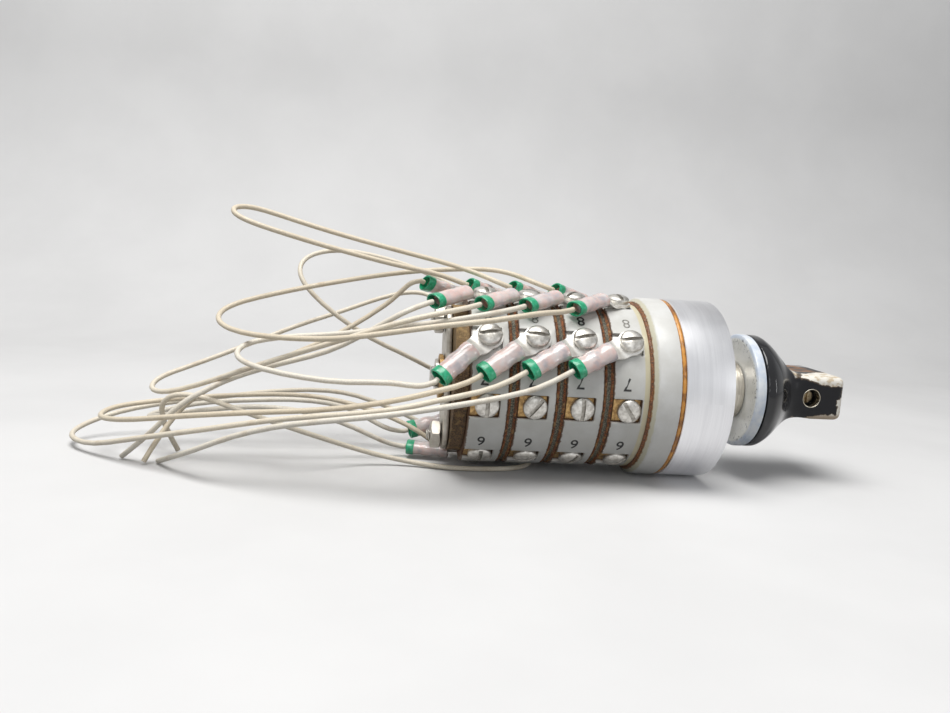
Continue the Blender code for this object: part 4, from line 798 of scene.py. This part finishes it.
SLOT_TURNS = {                     # degrees of each screw's slot, by terminal and deck
    6: (88, 20, 60, 35),
    7: (90, 52, 90, -55),
    8: (8, -6, 12, 6),
}
SLOT_WIDTH = 0.9 * MM
SLOT_DEPTH = 0.8 * MM
HEAD_RIM = 0.9 * MM
HEAD_ASKEW = 2.5                   # degrees, at most
DIGIT_HEIGHT = 3.0 * MM
FONT_SCALE = 1.42                  # of the font's size to the height of its digits
DIGIT_WIDTH = 0.95                 # share of the font's own width
DIGIT_AHEAD = 18.0                 # degrees from a screw to its number
DIGIT_BACK = {7: 0.85 * MM, 8: 0.0}   # from the screw's plane to the rear
USUAL_DIGIT_BACK = 0.4 * MM
DIGIT_PROUD = 0.03 * MM
DIGIT_BOLDER = 0.035 * MM          # added all round its strokes
WORN_BOLDER = -0.02 * MM
WORN_DIGITS = ((8, 1), (8, 2), (8, 4))
POCKET_ROUND = 0.35 * MM
POCKET_PAST = 2 * MM               # cutter past the rear of the deck
POCKET_CUT = 3 * MM                # height of the cutter
PLATE_MARGIN = 0.35 * MM
TONGUE_RING = 3.2 * MM
TONGUE_NECK = 2.75 * MM
LOW_TONGUE_RING = 2.7 * MM         # inside its pocket
LOW_TONGUE_NECK = 2.3 * MM
TONGUE_HEEL = 3.2 * MM             # flat run from the screw's axis
BAND_LENGTH = 1.9 * MM
SLEEVE_WALL = 0.35 * MM
SLEEVE_SHAPE = (                   # share of the half width, and run in millimetres
    (0.86, 0.0), (0.96, 0.12), (0.99, 0.5), (0.985, 1.6), (0.94, 2.4), (0.93, 3.6),
    (0.98, 4.4), (1.0, 5.4), (0.985, 6.2), (0.95, 6.9), (0.96, 7.8), (0.985, 8.6))
CRIMPS = (3.0 * MM, 7.0 * MM)      # places along a sleeve
CRIMP_WIDTH = 0.75 * MM
CRIMP_PRESS = 0.085                # shares of the radius
CRIMP_SWELL = 0.03
SLEEVE_WAVE = 0.012


def radial_frame(number, radius, x):
    """Frame at a terminal, with Z outward and X along the shaft."""
    angle = terminal_angle(number)
    return frame_at(spot(x, radius, angle), direction(angle), ALONG)


def make_moulding(deck):
    middle = deck_place(deck)
    rear, front = middle - DECK_REAR, middle + DECK_FRONT
    profile = [(DECK_BORE, rear), *near(DECK_RADIUS, rear, (-0.15, 0), (0, 0.15)),
               *near(DECK_RADIUS, front, (0, -0.3), (-0.3, 0)), (DECK_BORE, front)]
    item = new_piece(f"moulding_{deck}", lathe_mesh(profile, 160, SHAFT_LINE), MOULDING)
    length = DECK_REAR + POCKET_FRONT + POCKET_PAST
    cutter = bmesh.new()
    for number in TERMINALS:
        place = radial_frame(number, POCKET_FLOOR + POCKET_CUT / 2,
                             middle + POCKET_FRONT - length / 2)
        made = bmesh.ops.create_cube(
            cutter, size=1, matrix=box_matrix(place, (length, POCKET_WIDTH, POCKET_CUT)))
        outward = direction(terminal_angle(number))
        upright = [e for e in {e for v in made["verts"] for e in v.link_edges}
                   if abs((e.verts[1].co - e.verts[0].co).normalized().dot(outward)) > 0.9]
        bmesh.ops.bevel(cutter, geom=upright, offset=POCKET_ROUND, segments=3, profile=0.5,
                        affect="EDGES")
    carve(item, mesh_of(cutter))
    soften(item, 0.09 * MM)
    return settle(item)


def domed_head(slot_turn):
    """Slotted pan head of a terminal screw, standing on Z = 0."""
    steps = 8
    angles = [math.pi / 2 * i / steps for i in range(steps)]
    crown = [(HEAD_RADIUS * math.cos(a), HEAD_RIM + (HEAD_HEIGHT - HEAD_RIM) * math.sin(a))
             for a in angles]
    profile = [(0, 0), (HEAD_RADIUS * 0.97, 0)] + crown + [(0, HEAD_HEIGHT)]
    head = new_object("head", lathe_mesh(profile, 40, closed=False))
    size = (3 * HEAD_RADIUS, SLOT_WIDTH, 2 * SLOT_DEPTH)
    turn = Matrix.Rotation(math.radians(slot_turn), 4, "Z")
    carve(head, boxes_mesh([(size, turn @ Matrix.Translation((0, 0, HEAD_HEIGHT)))]))
    soften(head, 0.07 * MM)
    mesh = settle(head).data
    # Faces inside the slot take material 1, the painted shade of the slot.
    for face in mesh.polygons:
        across = abs((turn.inverted() @ face.center).y)
        face.material_index = int(across < SLOT_WIDTH / 2 + GAP / 10
                                  and face.center.z > HEAD_HEIGHT - 1.1 * SLOT_DEPTH)
    bpy.data.objects.remove(head)
    return mesh


def gather(name, parts, look, angle=32.0):
    """One piece from several meshes, each with its matrix."""
    shell = bmesh.new()
    for mesh, matrix in parts:
        copy = mesh.copy()
        copy.transform(matrix)
        shell.from_mesh(copy)
        bpy.data.meshes.remove(copy)
    mesh = mesh_of(shell, name)
    item = new_piece(name, mesh, look)
    mesh.shade_smooth()
    mesh.set_sharp_from_angle(angle=math.radians(angle))
    return item


def lug_seat(number):
    """Radius that a lug's tongue lies on: the deck's rim, or the plate where it is low."""
    return PLATE_FACE if number == LOW_TERMINAL else DECK_RADIUS


def make_screws(deck):
    parts = []
    for number in TERMINALS:
        guess = (37 * number + 61 * deck) % 180
        turn = SLOT_TURNS.get(number, (guess,) * DECK_COUNT)[deck - 1]
        base = lug_seat(number) + TONGUE_THICK if has_lug(number, deck) else PLATE_FACE
        place = radial_frame(number, base, deck_place(deck))
        tip = Matrix.Rotation(math.radians(HEAD_ASKEW * math.sin(5 * number + deck)), 4, "X")
        parts.append((domed_head(turn), place @ tip))
        foot = PLATE_FACE - SHANK_LET_IN - base
        shank = [(0, foot), (SHANK_RADIUS, foot), (SHANK_RADIUS, 0.2 * MM), (0, 0.2 * MM)]
        parts.append((lathe_mesh(shank, 20, closed=False), place))
    item = gather(f"terminal_screws_{deck}", parts, NICKEL)
    # Second material: the painted shade inside the slots.
    item.data.materials.append(SLOT_SHADE)


def make_plates(deck, name, under_lugs, look):
    """Plates of a deck's terminals, either those with lugs or those without."""
    length = DECK_REAR + POCKET_FRONT - 2 * PLATE_MARGIN
    size = (length, POCKET_WIDTH - 2 * PLATE_MARGIN, PLATE_PROUD + 0.2 * MM)
    x = deck_place(deck) + POCKET_FRONT - PLATE_MARGIN - length / 2
    boxes = [(size, radial_frame(number, PLATE_FACE - size[2] / 2, x))
             for number in TERMINALS if has_lug(number, deck) == under_lugs]
    item = new_piece(f"{name}_{deck}", boxes_mesh(boxes), look)
    soften(item, 0.08 * MM)
    settle(item)


def strip_mesh(stations, thick, across):
    """Strip through (centre, up, half width) stations, of one thickness."""
    shell = bmesh.new()
    rows = [[shell.verts.new(centre + across * side * half + up * thick * level)
             for side, level in ((-1, 0), (1, 0), (1, 1), (-1, 1))]
            for centre, up, half in stations]
    for low, high in zip(rows, rows[1:]):
        for i in range(4):
            j = (i + 1) % 4
            shell.faces.new((low[i], low[j], high[j], high[i]))
    shell.faces.new(rows[0][::-1])
    shell.faces.new(rows[-1])
    bmesh.ops.recalc_face_normals(shell, faces=shell.faces)
    return mesh_of(shell)


def make_tongue(number, deck):
    """Ring tongue: flat under the head, then bent up into the barrel."""
    start, _, along = lug_line(number, deck)
    outward = direction(terminal_angle(number))
    flat = (along - along.dot(outward) * outward).normalized()
    across = outward.cross(flat).normalized()
    base = spot(deck_place(deck), lug_seat(number), terminal_angle(number))
    low = number == LOW_TERMINAL
    ring, neck = (LOW_TONGUE_RING, LOW_TONGUE_NECK) if low else (TONGUE_RING, TONGUE_NECK)
    rise = (start - base).dot(outward) - TONGUE_THICK / 2
    reach = (start - base).dot(flat) + 0.8 * MM
    stations = []
    for i in range(13):
        run = -ring * 0.98 + i * (ring * 0.98 + TONGUE_HEEL) / 12
        half = max(math.sqrt(max(ring ** 2 - run ** 2, 0)), neck if run > 0 else 0)
        stations.append((base + flat * run, outward, half))
    for i in range(1, 9):
        share = i / 8
        run = TONGUE_HEEL + (reach - TONGUE_HEEL) * share
        ease = share * share * (3 - 2 * share)
        stations.append((base + flat * run + outward * rise * ease, outward,
                         neck - 0.6 * MM * share))
    return strip_mesh(stations, TONGUE_THICK, across)


def sleeve_profile(length):
    """Outer and inner skin of a sleeve, as (radius, run) points from the tongue's end."""
    outer = [(share * BARREL_WIDTH / 2, run * MM) for share, run in SLEEVE_SHAPE
             if run * MM < length - 0.3 * MM]
    last = outer[-1][0]
    inner = last - SLEEVE_WALL
    return outer + [(last, length), (inner, length), (inner, length - 1.2 * MM),
                    (0.7 * MM, length - 1.6 * MM), (0.7 * MM, 1.0 * MM), (1.6 * MM, 0.6 * MM),
                    (1.7 * MM, 0.0)]


def crimped(mesh, seed):
    """Press two crimps into a sleeve and make it slightly uneven."""
    for vertex in mesh.vertices:
        x, y, z = vertex.co
        angle = math.atan2(y, x)
        press = sum(math.exp(-((z - place) / CRIMP_WIDTH) ** 2) for place in CRIMPS)
        squash = 1 - CRIMP_PRESS * press * abs(math.cos(angle + 0.3 * seed)) ** 2
        swell = 1 + CRIMP_SWELL * press * abs(math.sin(angle + 0.3 * seed)) ** 2
        wave = 1 + SLEEVE_WAVE * math.sin(3 * angle + seed) * math.sin(z / (0.9 * MM) + seed)
        scale = squash * swell * wave
        vertex.co = (x * scale, y * scale, z)
    return mesh


def make_lugs(deck):
    tongues, sleeves, bands = [], [], []
    oval = Matrix.Diagonal((BARREL_THICK / BARREL_WIDTH, 1, 1, 1))
    rim = BARREL_WIDTH / 2
    ring = (near(rim, 0, (-0.08, 0), (0.04, 0.25)) + [(rim - 0.02 * MM, BAND_LENGTH * 0.6)]
            + near(rim, BAND_LENGTH, (0.06, -0.2), (-0.06, 0))
            + [(rim - SLEEVE_WALL - 0.06 * MM, BAND_LENGTH), (rim - SLEEVE_WALL - 0.16 * MM, 0)])
    for number in LUG_LEAN:
        if not has_lug(number, deck):
            continue
        start, mouth, along = lug_line(number, deck)
        outward = direction(terminal_angle(number))
        tongues.append((make_tongue(number, deck), Matrix.Identity(4)))
        seed = number * 1.7 + deck
        skin = lathe_mesh(sleeve_profile(BARREL_LENGTH - BAND_LENGTH), 32)
        sleeves.append((crimped(skin, seed), frame_at(start, along, outward) @ oval))
        place = frame_at(mouth - along * BAND_LENGTH, along, outward) @ oval
        bands.append((crimped(lathe_mesh(ring, 32), seed), place))
    shine = gather(f"lug_tongues_{deck}", tongues, TIN, 40)
    soften(shine, 0.1 * MM)
    settle(shine)
    gather(f"lug_sleeves_{deck}", sleeves, SLEEVE, 40)
    gather(f"lug_bands_{deck}", bands, BAND, 40)


def make_digits(deck):
    """Raised numbers beside the screws, read with the knob to the left."""
    solid, worn = [], []
    for number in TERMINALS:
        is_worn = (number, deck) in WORN_DIGITS
        text = bpy.data.curves.new("digit", "FONT")
        text.body = str(number)
        text.size = DIGIT_HEIGHT * FONT_SCALE
        text.extrude = DIGIT_PROUD
        text.align_x = "CENTER"
        text.align_y = "CENTER"
        text.resolution_u = 4
        text.offset = WORN_BOLDER if is_worn else DIGIT_BOLDER
        item = new_object("digit", text)
        bpy.context.view_layer.update()
        mesh = bpy.data.meshes.new_from_object(item)
        bpy.data.objects.remove(item)
        middle = terminal_angle(number) + DIGIT_AHEAD
        for vertex in mesh.vertices:
            right, up, out = vertex.co
            angle = middle - math.degrees(up / DECK_RADIUS)
            x = deck_place(deck) - DIGIT_BACK.get(number, USUAL_DIGIT_BACK) - right * DIGIT_WIDTH
            vertex.co = spot(x, DECK_RADIUS + out + 0.01 * MM, angle)
        (worn if is_worn else solid).append((mesh, Matrix.Identity(4)))
    gather(f"digits_{deck}", solid, INK)
    if worn:
        gather(f"digits_worn_{deck}", worn, WORN_INK)


for deck in DECKS:
    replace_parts(make_moulding(deck), f"deck_{deck}")
    make_screws(deck)
    make_plates(deck, "terminal_plates", False, BRASS)
    make_plates(deck, "lugged_plates", True, TIN)
    make_lugs(deck)
    make_digits(deck)


# Turned pieces

LAMINATE = laminate_look()
STEEL = metal_look("strap_steel", (0.55, 0.52, 0.47), (0.4, 0.37, 0.32), 0.36, 3.0, 0.35)
ALUMINIUM = turned_look("turned_aluminium", (0.82, 0.82, 0.84), (0.73, 0.73, 0.75), 0.3)
BOSS_METAL = turned_look("boss_metal", (0.72, 0.68, 0.6), (0.4, 0.36, 0.3), 0.26)
CRUST_WIDTH = 0.42                 # millimetres
CRUST_REACH = 0.22                 # millimetres of crust over the gap to a deck
COLLAR_BORE = 15.7 * MM
SEAL_WIDER = 0.28 * MM             # on each side than its groove
HOUSING_CAVITY = 16.2 * MM
HOUSING_CHAMBER = 12.0 * MM
THREAD_PITCH = 0.794 * MM
THREAD_DEPTH = 0.42 * MM
THREAD_TAPER = 0.4 * MM            # off the radius at each end
STEPS_PER_THREAD = 8


def make_spacer(name, node, outer, inner, crust, seed):
    """Laminated ring whose two edges carry a ragged bead of old varnish."""
    rear, front = span_of(node)
    rim, foot = outer + crust, outer - 0.4 * MM
    bead = ((-0.12, -CRUST_REACH), (0, -CRUST_REACH / 3), (-0.05, CRUST_WIDTH / 2))
    mirrored = [(out, -run) for out, run in bead[::-1]]
    profile = [*near(foot, rear, (0, -CRUST_REACH)), *near(rim, rear, *bead),
               *near(outer, rear, (0, CRUST_WIDTH)), (outer - 0.08 * MM, (rear + front) / 2),
               *near(outer, front, (0, -CRUST_WIDTH)), *near(rim, front, *mirrored),
               *near(foot, front, (0, CRUST_REACH), (0, 0)), (inner, front), (inner, rear),
               (foot, rear)]
    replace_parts(turned(name, profile, LAMINATE, 360, ragged=(0.15 * MM, seed)), node)


def make_collar():
    profile = [(COLLAR_BORE, COLLAR_REAR),
               *near(BODY_RADIUS, COLLAR_REAR, (-1.1, 0), (-0.12, 1.1), (0, 1.35)),
               *near(BODY_RADIUS, COLLAR_FRONT, (0, -0.15), (-0.15, 0)),
               (COLLAR_BORE, COLLAR_FRONT)]
    return turned("collar_smooth", profile, collar_look(), 192)


def make_seal():
    rear, front = span_of("seal_ring")
    rim, middle = BODY_RADIUS - 0.2 * MM, (rear + front) / 2
    profile = [*near(rim, rear - SEAL_WIDER, (-5, 0), (-0.25, 0)),
               *near(rim, middle, (0, -0.2), (0.06, 0.1)),
               *near(rim, front + SEAL_WIDER, (-0.25, 0), (-5, 0))]
    return turned("seal_bead", profile, SEAL, 240, ragged=(0.04 * MM, 20))


def make_crust():
    """Varnish dried in the corner between the last deck and the collar."""
    profile = near(DECK_RADIUS + 0.35 * MM, (LAST_FRONT + COLLAR_REAR) / 2,
                   (-1.2, -0.12), (-0.4, -0.14), (-0.3, -0.45), (-0.05, -0.4), (0.1, -0.1),
                   (0.2, 0.14), (-1.2, 0.12))
    turned("collar_crust", profile, crust_look(), 360, ragged=(0.22 * MM, 30))


def make_housing():
    profile = [*near(0, HOUSING_FRONT, (6.7, 0)),
               *near(BODY_RADIUS, HOUSING_FRONT, (-0.45, 0), (-0.13, -0.13), (0, -0.45)),
               *near(BODY_RADIUS, HOUSING_REAR, (0, 0.15), (-0.15, 0)),
               *near(HOUSING_CAVITY, HOUSING_REAR, (0, 0), (0, 4.8)),
               *near(HOUSING_CHAMBER, HOUSING_FRONT, (3.6, -3.7), (0, -3.2)),
               *near(0, HOUSING_FRONT, (5.1, -3.2), (5.1, -1.4), (6.7, -1.4))]
    return turned("housing_shell", profile, ALUMINIUM, 192)


def thread_mesh(radius, bore, rear, front, lead_in, sides=64):
    """Threaded tube along X, its outer skin a single helix."""
    count = max(2, round((front - rear) / THREAD_PITCH * STEPS_PER_THREAD))
    turns = [(math.cos(2 * math.pi * i / sides), math.sin(2 * math.pi * i / sides))
             for i in range(sides)]
    shell = bmesh.new()
    rings = []
    for k in range(count + 1):
        x = rear + (front - rear) * k / count
        limit = radius - THREAD_TAPER * (1 - min(1, min(x - rear, front - x) / lead_in))
        ring = []
        for i, (side, up) in enumerate(turns):
            phase = (x / THREAD_PITCH - i / sides) % 1
            groove = THREAD_DEPTH * min(1, max(0, 1.6 * abs(2 * phase - 1) - 0.3))
            r = min(radius - groove, limit)
            ring.append(shell.verts.new((x, AXIS_Y + r * side, AXIS_Z + r * up)))
        rings.append(ring)
    for x in (front, rear):
        rings.append([shell.verts.new((x, AXIS_Y + bore * side, AXIS_Z + bore * up))
                      for side, up in turns])
    for low, high in zip(rings, rings[1:] + rings[:1]):
        for i in range(sides):
            j = (i + 1) % sides
            shell.faces.new((low[i], low[j], high[j], high[i]))
    bmesh.ops.recalc_face_normals(shell, faces=shell.faces)
    return mesh_of(shell)


def make_bushing():
    profile = [*near(BUSHING_BORE, HOUSING_FRONT, (0, 0.9)),
               *near(0, HOUSING_FRONT, (4.2, 0.9), (4.2, 0.05), (6.3, 0), (6.4, -0.1),
                     (6.4, -1.1)),
               *near(BUSHING_RADIUS, HOUSING_FRONT, (0, -1.1), (0, -2.9)),
               *near(BUSHING_BORE, HOUSING_FRONT, (0, -2.9))]
    mesh = thread_mesh(BUSHING_RADIUS, BUSHING_BORE, HOUSING_FRONT + 0.9 * MM,
                       span_of("bushing")[1], 0.5 * MM)
    neck = settle(new_piece("bushing_thread", mesh, BOSS_METAL), 45)
    turned("bushing_shoulder", profile, BOSS_METAL)
    return neck


for number in DECKS[:-1]:
    make_spacer(f"spacer_rim_{number}", f"deck_spacer_{number}", SPACER_RADIUS, SPACER_BORE,
                0.45 * MM, number)
SEAL = seal_look()
make_crust()
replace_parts(make_collar(), "collar")
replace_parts(make_seal(), "seal_ring")
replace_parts(make_housing(), "front_housing")
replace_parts(make_bushing(), "bushing")


# Knob

KNOB_VOXEL = 0.28 * MM
FILLET_SPAN = (4.5 * MM, 15.5 * MM)  # above the knob's base
FILLET_PASSES = 420
RIM_METAL = metal_look("rim_metal", (0.9, 0.86, 0.74), (0.62, 0.53, 0.38), 0.3)
HOLE_METAL = metal_look("hole_metal", (0.6, 0.5, 0.34), (0.34, 0.24, 0.14), 0.34, specks=0.5)


def make_skirt():
    profile = [(KNOB_BORE, SKIRT_FRONT),
               *near(SKIRT_RADIUS, SKIRT_FRONT, (-0.3, 0), (-0.05, -0.15), (0, -0.4)),
               *near(SKIRT_RADIUS, SKIRT_REAR, (0, 0.5), (-0.12, 0.18), (-0.5, 0), (-1.8, 0),
                     (-2.1, 0.12)), (KNOB_BORE, SKIRT_REAR + 0.12 * MM)]
    return turned("skirt_disc", profile, skirt_look(), 160, "selector")


def make_boss():
    rear, _ = span_of("knob_insert")
    profile = [*near(0, rear, (3.5, 0), (6.6, 0), (7.05, 0.15), (7.2, 0.5)),
               *near(0, SKIRT_REAR, (7.2, -0.18), (4.4, -0.18)),
               *near(0, CREST, (4.4, -2.5), (0, -2.5), (0, -3.6), (3.5, -3.6))]
    return turned("insert_boss", profile, BOSS_METAL, 96, "selector")


def grub_frame(radius):
    return frame_at(spot(BASE_REAR + GRUB_HEIGHT, radius, 0), direction(0), ALONG)


def relax(item, passes, group=""):
    smooth = item.modifiers.new("relax", "SMOOTH")
    smooth.factor = 0.5
    smooth.iterations = passes
    smooth.vertex_group = group
    settle(item, 180)


def ease_junction(knob):
    """Relax the corner between the flare and the bar into a soft fillet."""
    group = knob.vertex_groups.new(name="junction")
    low, high = FILLET_SPAN
    for vertex in knob.data.vertices:
        height = vertex.co.x - BASE_REAR
        weight = min(1, max(0, (height - low) / (2 * MM)), max(0, (high - height) / (4 * MM)))
        if weight > 0:
            group.add([vertex.index], weight, "REPLACE")
    relax(knob, FILLET_PASSES, group.name)


def flared_base():
    steps = 28
    flare = []
    for i in range(steps + 1):
        share = (i / steps) ** 1.5
        radius = SKIRT_RADIUS + (CONE_TOP_RADIUS - SKIRT_RADIUS) * share
        height = BASE_THICK + (CONE_TOP - BASE_THICK) * share ** CONE_BULGE
        flare.append((radius, BASE_REAR + height))
    profile = [(0, BASE_REAR), (SKIRT_RADIUS, BASE_REAR)] + flare + [(0, flare[-1][1])]
    return lathe_mesh(profile, 160, SHAFT_LINE, closed=False)


def rounded_bar():
    low = BASE_REAR + 1.0 * MM         # its foot is inside the flare
    size = (CREST - low, BAR_BLUNT + BAR_POINT, BAR_THICK)
    centre = Vector(((CREST + low) / 2, AXIS_Y + (BAR_POINT - BAR_BLUNT) / 2, AXIS_Z))
    block = bmesh.new()
    bmesh.ops.create_cube(block, size=1, matrix=box_matrix(Matrix.Translation(centre), size))
    edges = [e for e in block.edges if (e.verts[0].co + e.verts[1].co).x / 2 > low + GAP]
    bmesh.ops.bevel(block, geom=edges, offset=BAR_ROUND, segments=6, profile=0.5, affect="EDGES")
    return mesh_of(block)


def make_knob():
    """Flared base and rounded bar, blended by a voxel remesh and relaxed."""
    knob = new_piece("knob_grip", flared_base(), knob_look(), "selector")
    carve(knob, rounded_bar(), "UNION")
    remesh = knob.modifiers.new("remesh", "REMESH")
    remesh.mode = "VOXEL"
    remesh.voxel_size = KNOB_VOXEL
    relax(knob, 10)
    ease_junction(knob)
    bore = [(0, BASE_REAR - MM), (KNOB_BORE, BASE_REAR - MM), *near(KNOB_BORE, CREST, (0, -2.2)),
            *near(0, CREST, (0, -2.2))]
    carve(knob, lathe_mesh(bore, 48, SHAFT_LINE, closed=False))
    depth = 2 * BAR_BLUNT
    hole = [(0, 0), (GRUB_HOLE, 0), (GRUB_HOLE, depth), (0, depth)]
    carve(knob, lathe_mesh(hole, 48, grub_frame(KNOB_BORE - 0.6 * MM), closed=False))
    low, high = corners("knob_index")
    size = high - low + 2 * Vector((GAP, GAP, GAP)) + ALONG * 2 * MM
    carve(knob, boxes_mesh([(size, Matrix.Translation((high + low) / 2 + ALONG * MM))]))
    return settle(knob, 50)


def make_hole_rim():
    """Bright rim where the paint has gone from the edge of the set screw's hole."""
    profile = near(GRUB_HOLE, BAR_BLUNT - 0.12 * MM, (0, -1.4), (0.24, -1.4), (0.24, 0.08),
                   (0.12, 0.16), (0.08, 0.16), (0, 0.06))
    turned("hole_rim", profile, RIM_METAL, 48, "selector", grub_frame(0))


def make_grub():
    profile = [(0, GRUB_START), *near(GRUB_RADIUS, GRUB_START, (-0.4, 0), (0, 0.4)),
               *near(GRUB_RADIUS, GRUB_END, (0, -0.2), (-0.2, 0)), (0, GRUB_END)]
    item = turned("set_screw", profile, HOLE_METAL, 32, "selector", grub_frame(0), closed=False)
    return carve(item, boxes_mesh([(GRUB_SLOT, grub_frame(GRUB_END))]))


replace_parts(make_skirt(), "knob_skirt")
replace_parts(make_boss(), "knob_insert")
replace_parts(make_knob(), "knob_body")
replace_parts(make_grub(), "knob_grub_screw")
make_hole_rim()


# Rear end

def rounded_strap():
    """Strap with round ends, its edges eased and its holes cut through."""
    rear, front = span_of("rear_plate")
    along = direction(TIE_ANGLE)
    across = ALONG.cross(along)
    origin = Vector((rear, AXIS_Y, AXIS_Z))
    shell = bmesh.new()
    loop = []
    for end in (0, 1):
        centre = origin + along * (STRAP_REACH - STRAP_HALF) * (1 - 2 * end)
        for i in range(33):
            angle = math.pi * (i / 32 + end) - math.pi / 2
            rim = along * math.cos(angle) + across * math.sin(angle)
            loop.append(shell.verts.new(centre + rim * STRAP_HALF))
    made = bmesh.ops.extrude_face_region(shell, geom=[shell.faces.new(loop)])
    moved = [v for v in made["geom"] if isinstance(v, bmesh.types.BMVert)]
    bmesh.ops.translate(shell, verts=moved, vec=(front - rear, 0, 0))
    bmesh.ops.recalc_face_normals(shell, faces=shell.faces)
    item = new_piece("rear_strap", mesh_of(shell), STEEL)
    middle = (rear + front) / 2
    holes = bmesh.new()
    for radius, out, angle in ((STRAP_BORE, 0, 0), (TIE_HOLE, TIE_CIRCLE, TIE_ANGLE - 180),
                               (TIE_HOLE, TIE_CIRCLE, TIE_ANGLE)):
        bmesh.ops.create_cone(holes, cap_ends=True, segments=40, radius1=radius, radius2=radius,
                              depth=5 * MM, matrix=frame_at(spot(middle, out, angle), ALONG, along))
    carve(item, mesh_of(holes))
    soften(item, 0.15 * MM)
    return settle(item)


def make_nut(index):
    """Hexagon nut with both faces turned to a chamfer."""
    low, high = corners(f"tie_nut_{index}")
    middle = (low + high) / 2
    corner, face = NUT_ACROSS / math.sqrt(3), NUT_ACROSS * 0.46
    place = frame_at(Vector((low.x, middle.y, middle.z)), ALONG, UP)
    thick = high.x - low.x
    mesh = lathe_mesh([(NUT_BORE, 0), (corner, 0), (corner, thick), (NUT_BORE, thick)],
                      6, place @ Matrix.Rotation(math.radians(14), 4, "Z"))
    item = new_piece(f"hex_nut_{index}", mesh, STEEL)
    lathed = [(2 * corner, -MM), (face, -MM), (face, 0), *near(corner, 0, (0.05, 0.45)),
              *near(corner, thick, (0.05, -0.45)), (face, thick), (face, thick + MM),
              (2 * corner, thick + MM)]
    return carve(item, lathe_mesh(lathed, 48, place))


def make_rod_tail(index):
    low, high = corners(f"tie_rod_{index}")
    middle = (low + high) / 2
    mesh = thread_mesh(TIE_RADIUS, 0.05 * MM, low.x, high.x, 0.4 * MM, 24)
    mesh.transform(Matrix.Translation((0, middle.y - AXIS_Y, middle.z - AXIS_Z)))
    return settle(new_piece(f"rod_thread_{index}", mesh, NICKEL), 45)


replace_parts(rounded_strap(), "rear_plate")
for index in (1, 2):
    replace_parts(make_nut(index), f"tie_nut_{index}")
    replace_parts(make_rod_tail(index), f"tie_rod_{index}")
make_spacer("rear_spacer_rim", "rear_spacer", REAR_SPACER_RADIUS, REAR_SPACER_BORE, 0.1 * MM, 10)


# Finishes of the CAD nodes that stay

def dress(look, nodes, width=0.0):
    """Give CAD nodes a finish, and ease their edges where they show."""
    for node in nodes:
        item = bpy.data.objects[node]
        if not item.material_slots:
            item.data.materials.append(None)
        for slot in item.material_slots:
            slot.link = "OBJECT"
            slot.material = look
        if width:
            soften(item, width)


ROTOR = plain_look("rotor_plastic", (0.3, 0.15, 0.07), (0.17, 0.08, 0.04), 0.45, Coat_Weight=0.2)
INDEX = plain_look("index_fill", (0.78, 0.76, 0.7), (0.5, 0.47, 0.42), 0.6, 0.6)
dress(ROTOR, [f"rotor_{i}" for i in DECKS])
dress(BRASS, [f"wiper_{i}" for i in DECKS] + ["rear_bush"], 0.05 * MM)
dress(NICKEL, ["retaining_clip"], 0.08 * MM)
dress(NICKEL, ["shaft", "stop_arm", "stop_pin", "detent_wheel", "detent_ball_1",
               "detent_ball_2", "detent_spring_1", "detent_spring_2"]
      + [f"shaft_sleeve_{i}" for i in DECKS[:-1]])
dress(INDEX, ["knob_index"], 0.04 * MM)


# Floor, backdrop and light

FLOOR_BOUNCE = (0.24, 0.24, 0.24)
WORLD_COLOUR = (0.93, 0.945, 0.96)
WORLD_LIGHT = 0.24
WORLD_SEEN = 0.6
LAMP_TARGET = Vector((FIRST_SCREWS + 20 * MM, AXIS_Y, AXIS_Z))
LAMPS = (                          # name, place, size, power, colour
    ("overhead", (-0.12, -0.1, 0.62), (0.5, 0.35), 4.4, (1.0, 0.99, 0.97)),
    ("side_strip", (0.6, -0.45, 0.2), (0.05, 0.25), 0.3, (1.0, 1.0, 1.0)),
    ("front_fill", (-0.05, -0.72, 0.36), (0.16, 0.34), 0.55, (0.97, 0.985, 1.0)),
)


def make_stage():
    """Floor that sweeps up into a backdrop behind the switch."""
    half, front, back, bend, top = 0.9, -0.6, 0.34, 0.16, 0.9
    line = [(front, 0.0), (back - bend, 0.0)]
    line += [(back - bend + bend * math.sin(a), bend - bend * math.cos(a))
             for a in (math.pi / 2 * i / 16 for i in range(1, 17))]
    line.append((back, top))
    shell = bmesh.new()
    rows = [(shell.verts.new((-half, y, z)), shell.verts.new((half, y, z))) for y, z in line]
    for low, high in zip(rows, rows[1:]):
        shell.faces.new((low[0], low[1], high[1], high[0]))
    mesh = mesh_of(shell)
    mesh.materials.append(floor_look())
    mesh.shade_smooth()
    new_object("stage", mesh)


def add_lamp(name, place, size, power, colour):
    data = bpy.data.lights.new(name, "AREA")
    data.shape = "RECTANGLE"
    data.size, data.size_y = size
    data.energy = power
    data.color = colour
    lamp = new_object(name, data)
    lamp.location = place
    lamp.rotation_euler = (LAMP_TARGET - lamp.location).to_track_quat("-Z", "Y").to_euler()


def make_world():
    """Dim light all round, seen pale behind the stage and in metal and glass."""
    world = bpy.data.worlds.new("world")
    sky = Nodes(world, "Background")
    sky.set("Color", WORLD_COLOUR)
    sky.set("Strength", WORLD_LIGHT + sky.seen() * (WORLD_SEEN - WORLD_LIGHT))
    bpy.context.scene.world = world


make_stage()
for lamp in LAMPS:
    add_lamp(*lamp)
make_world()
bpy.context.scene.view_settings.view_transform = "Standard"
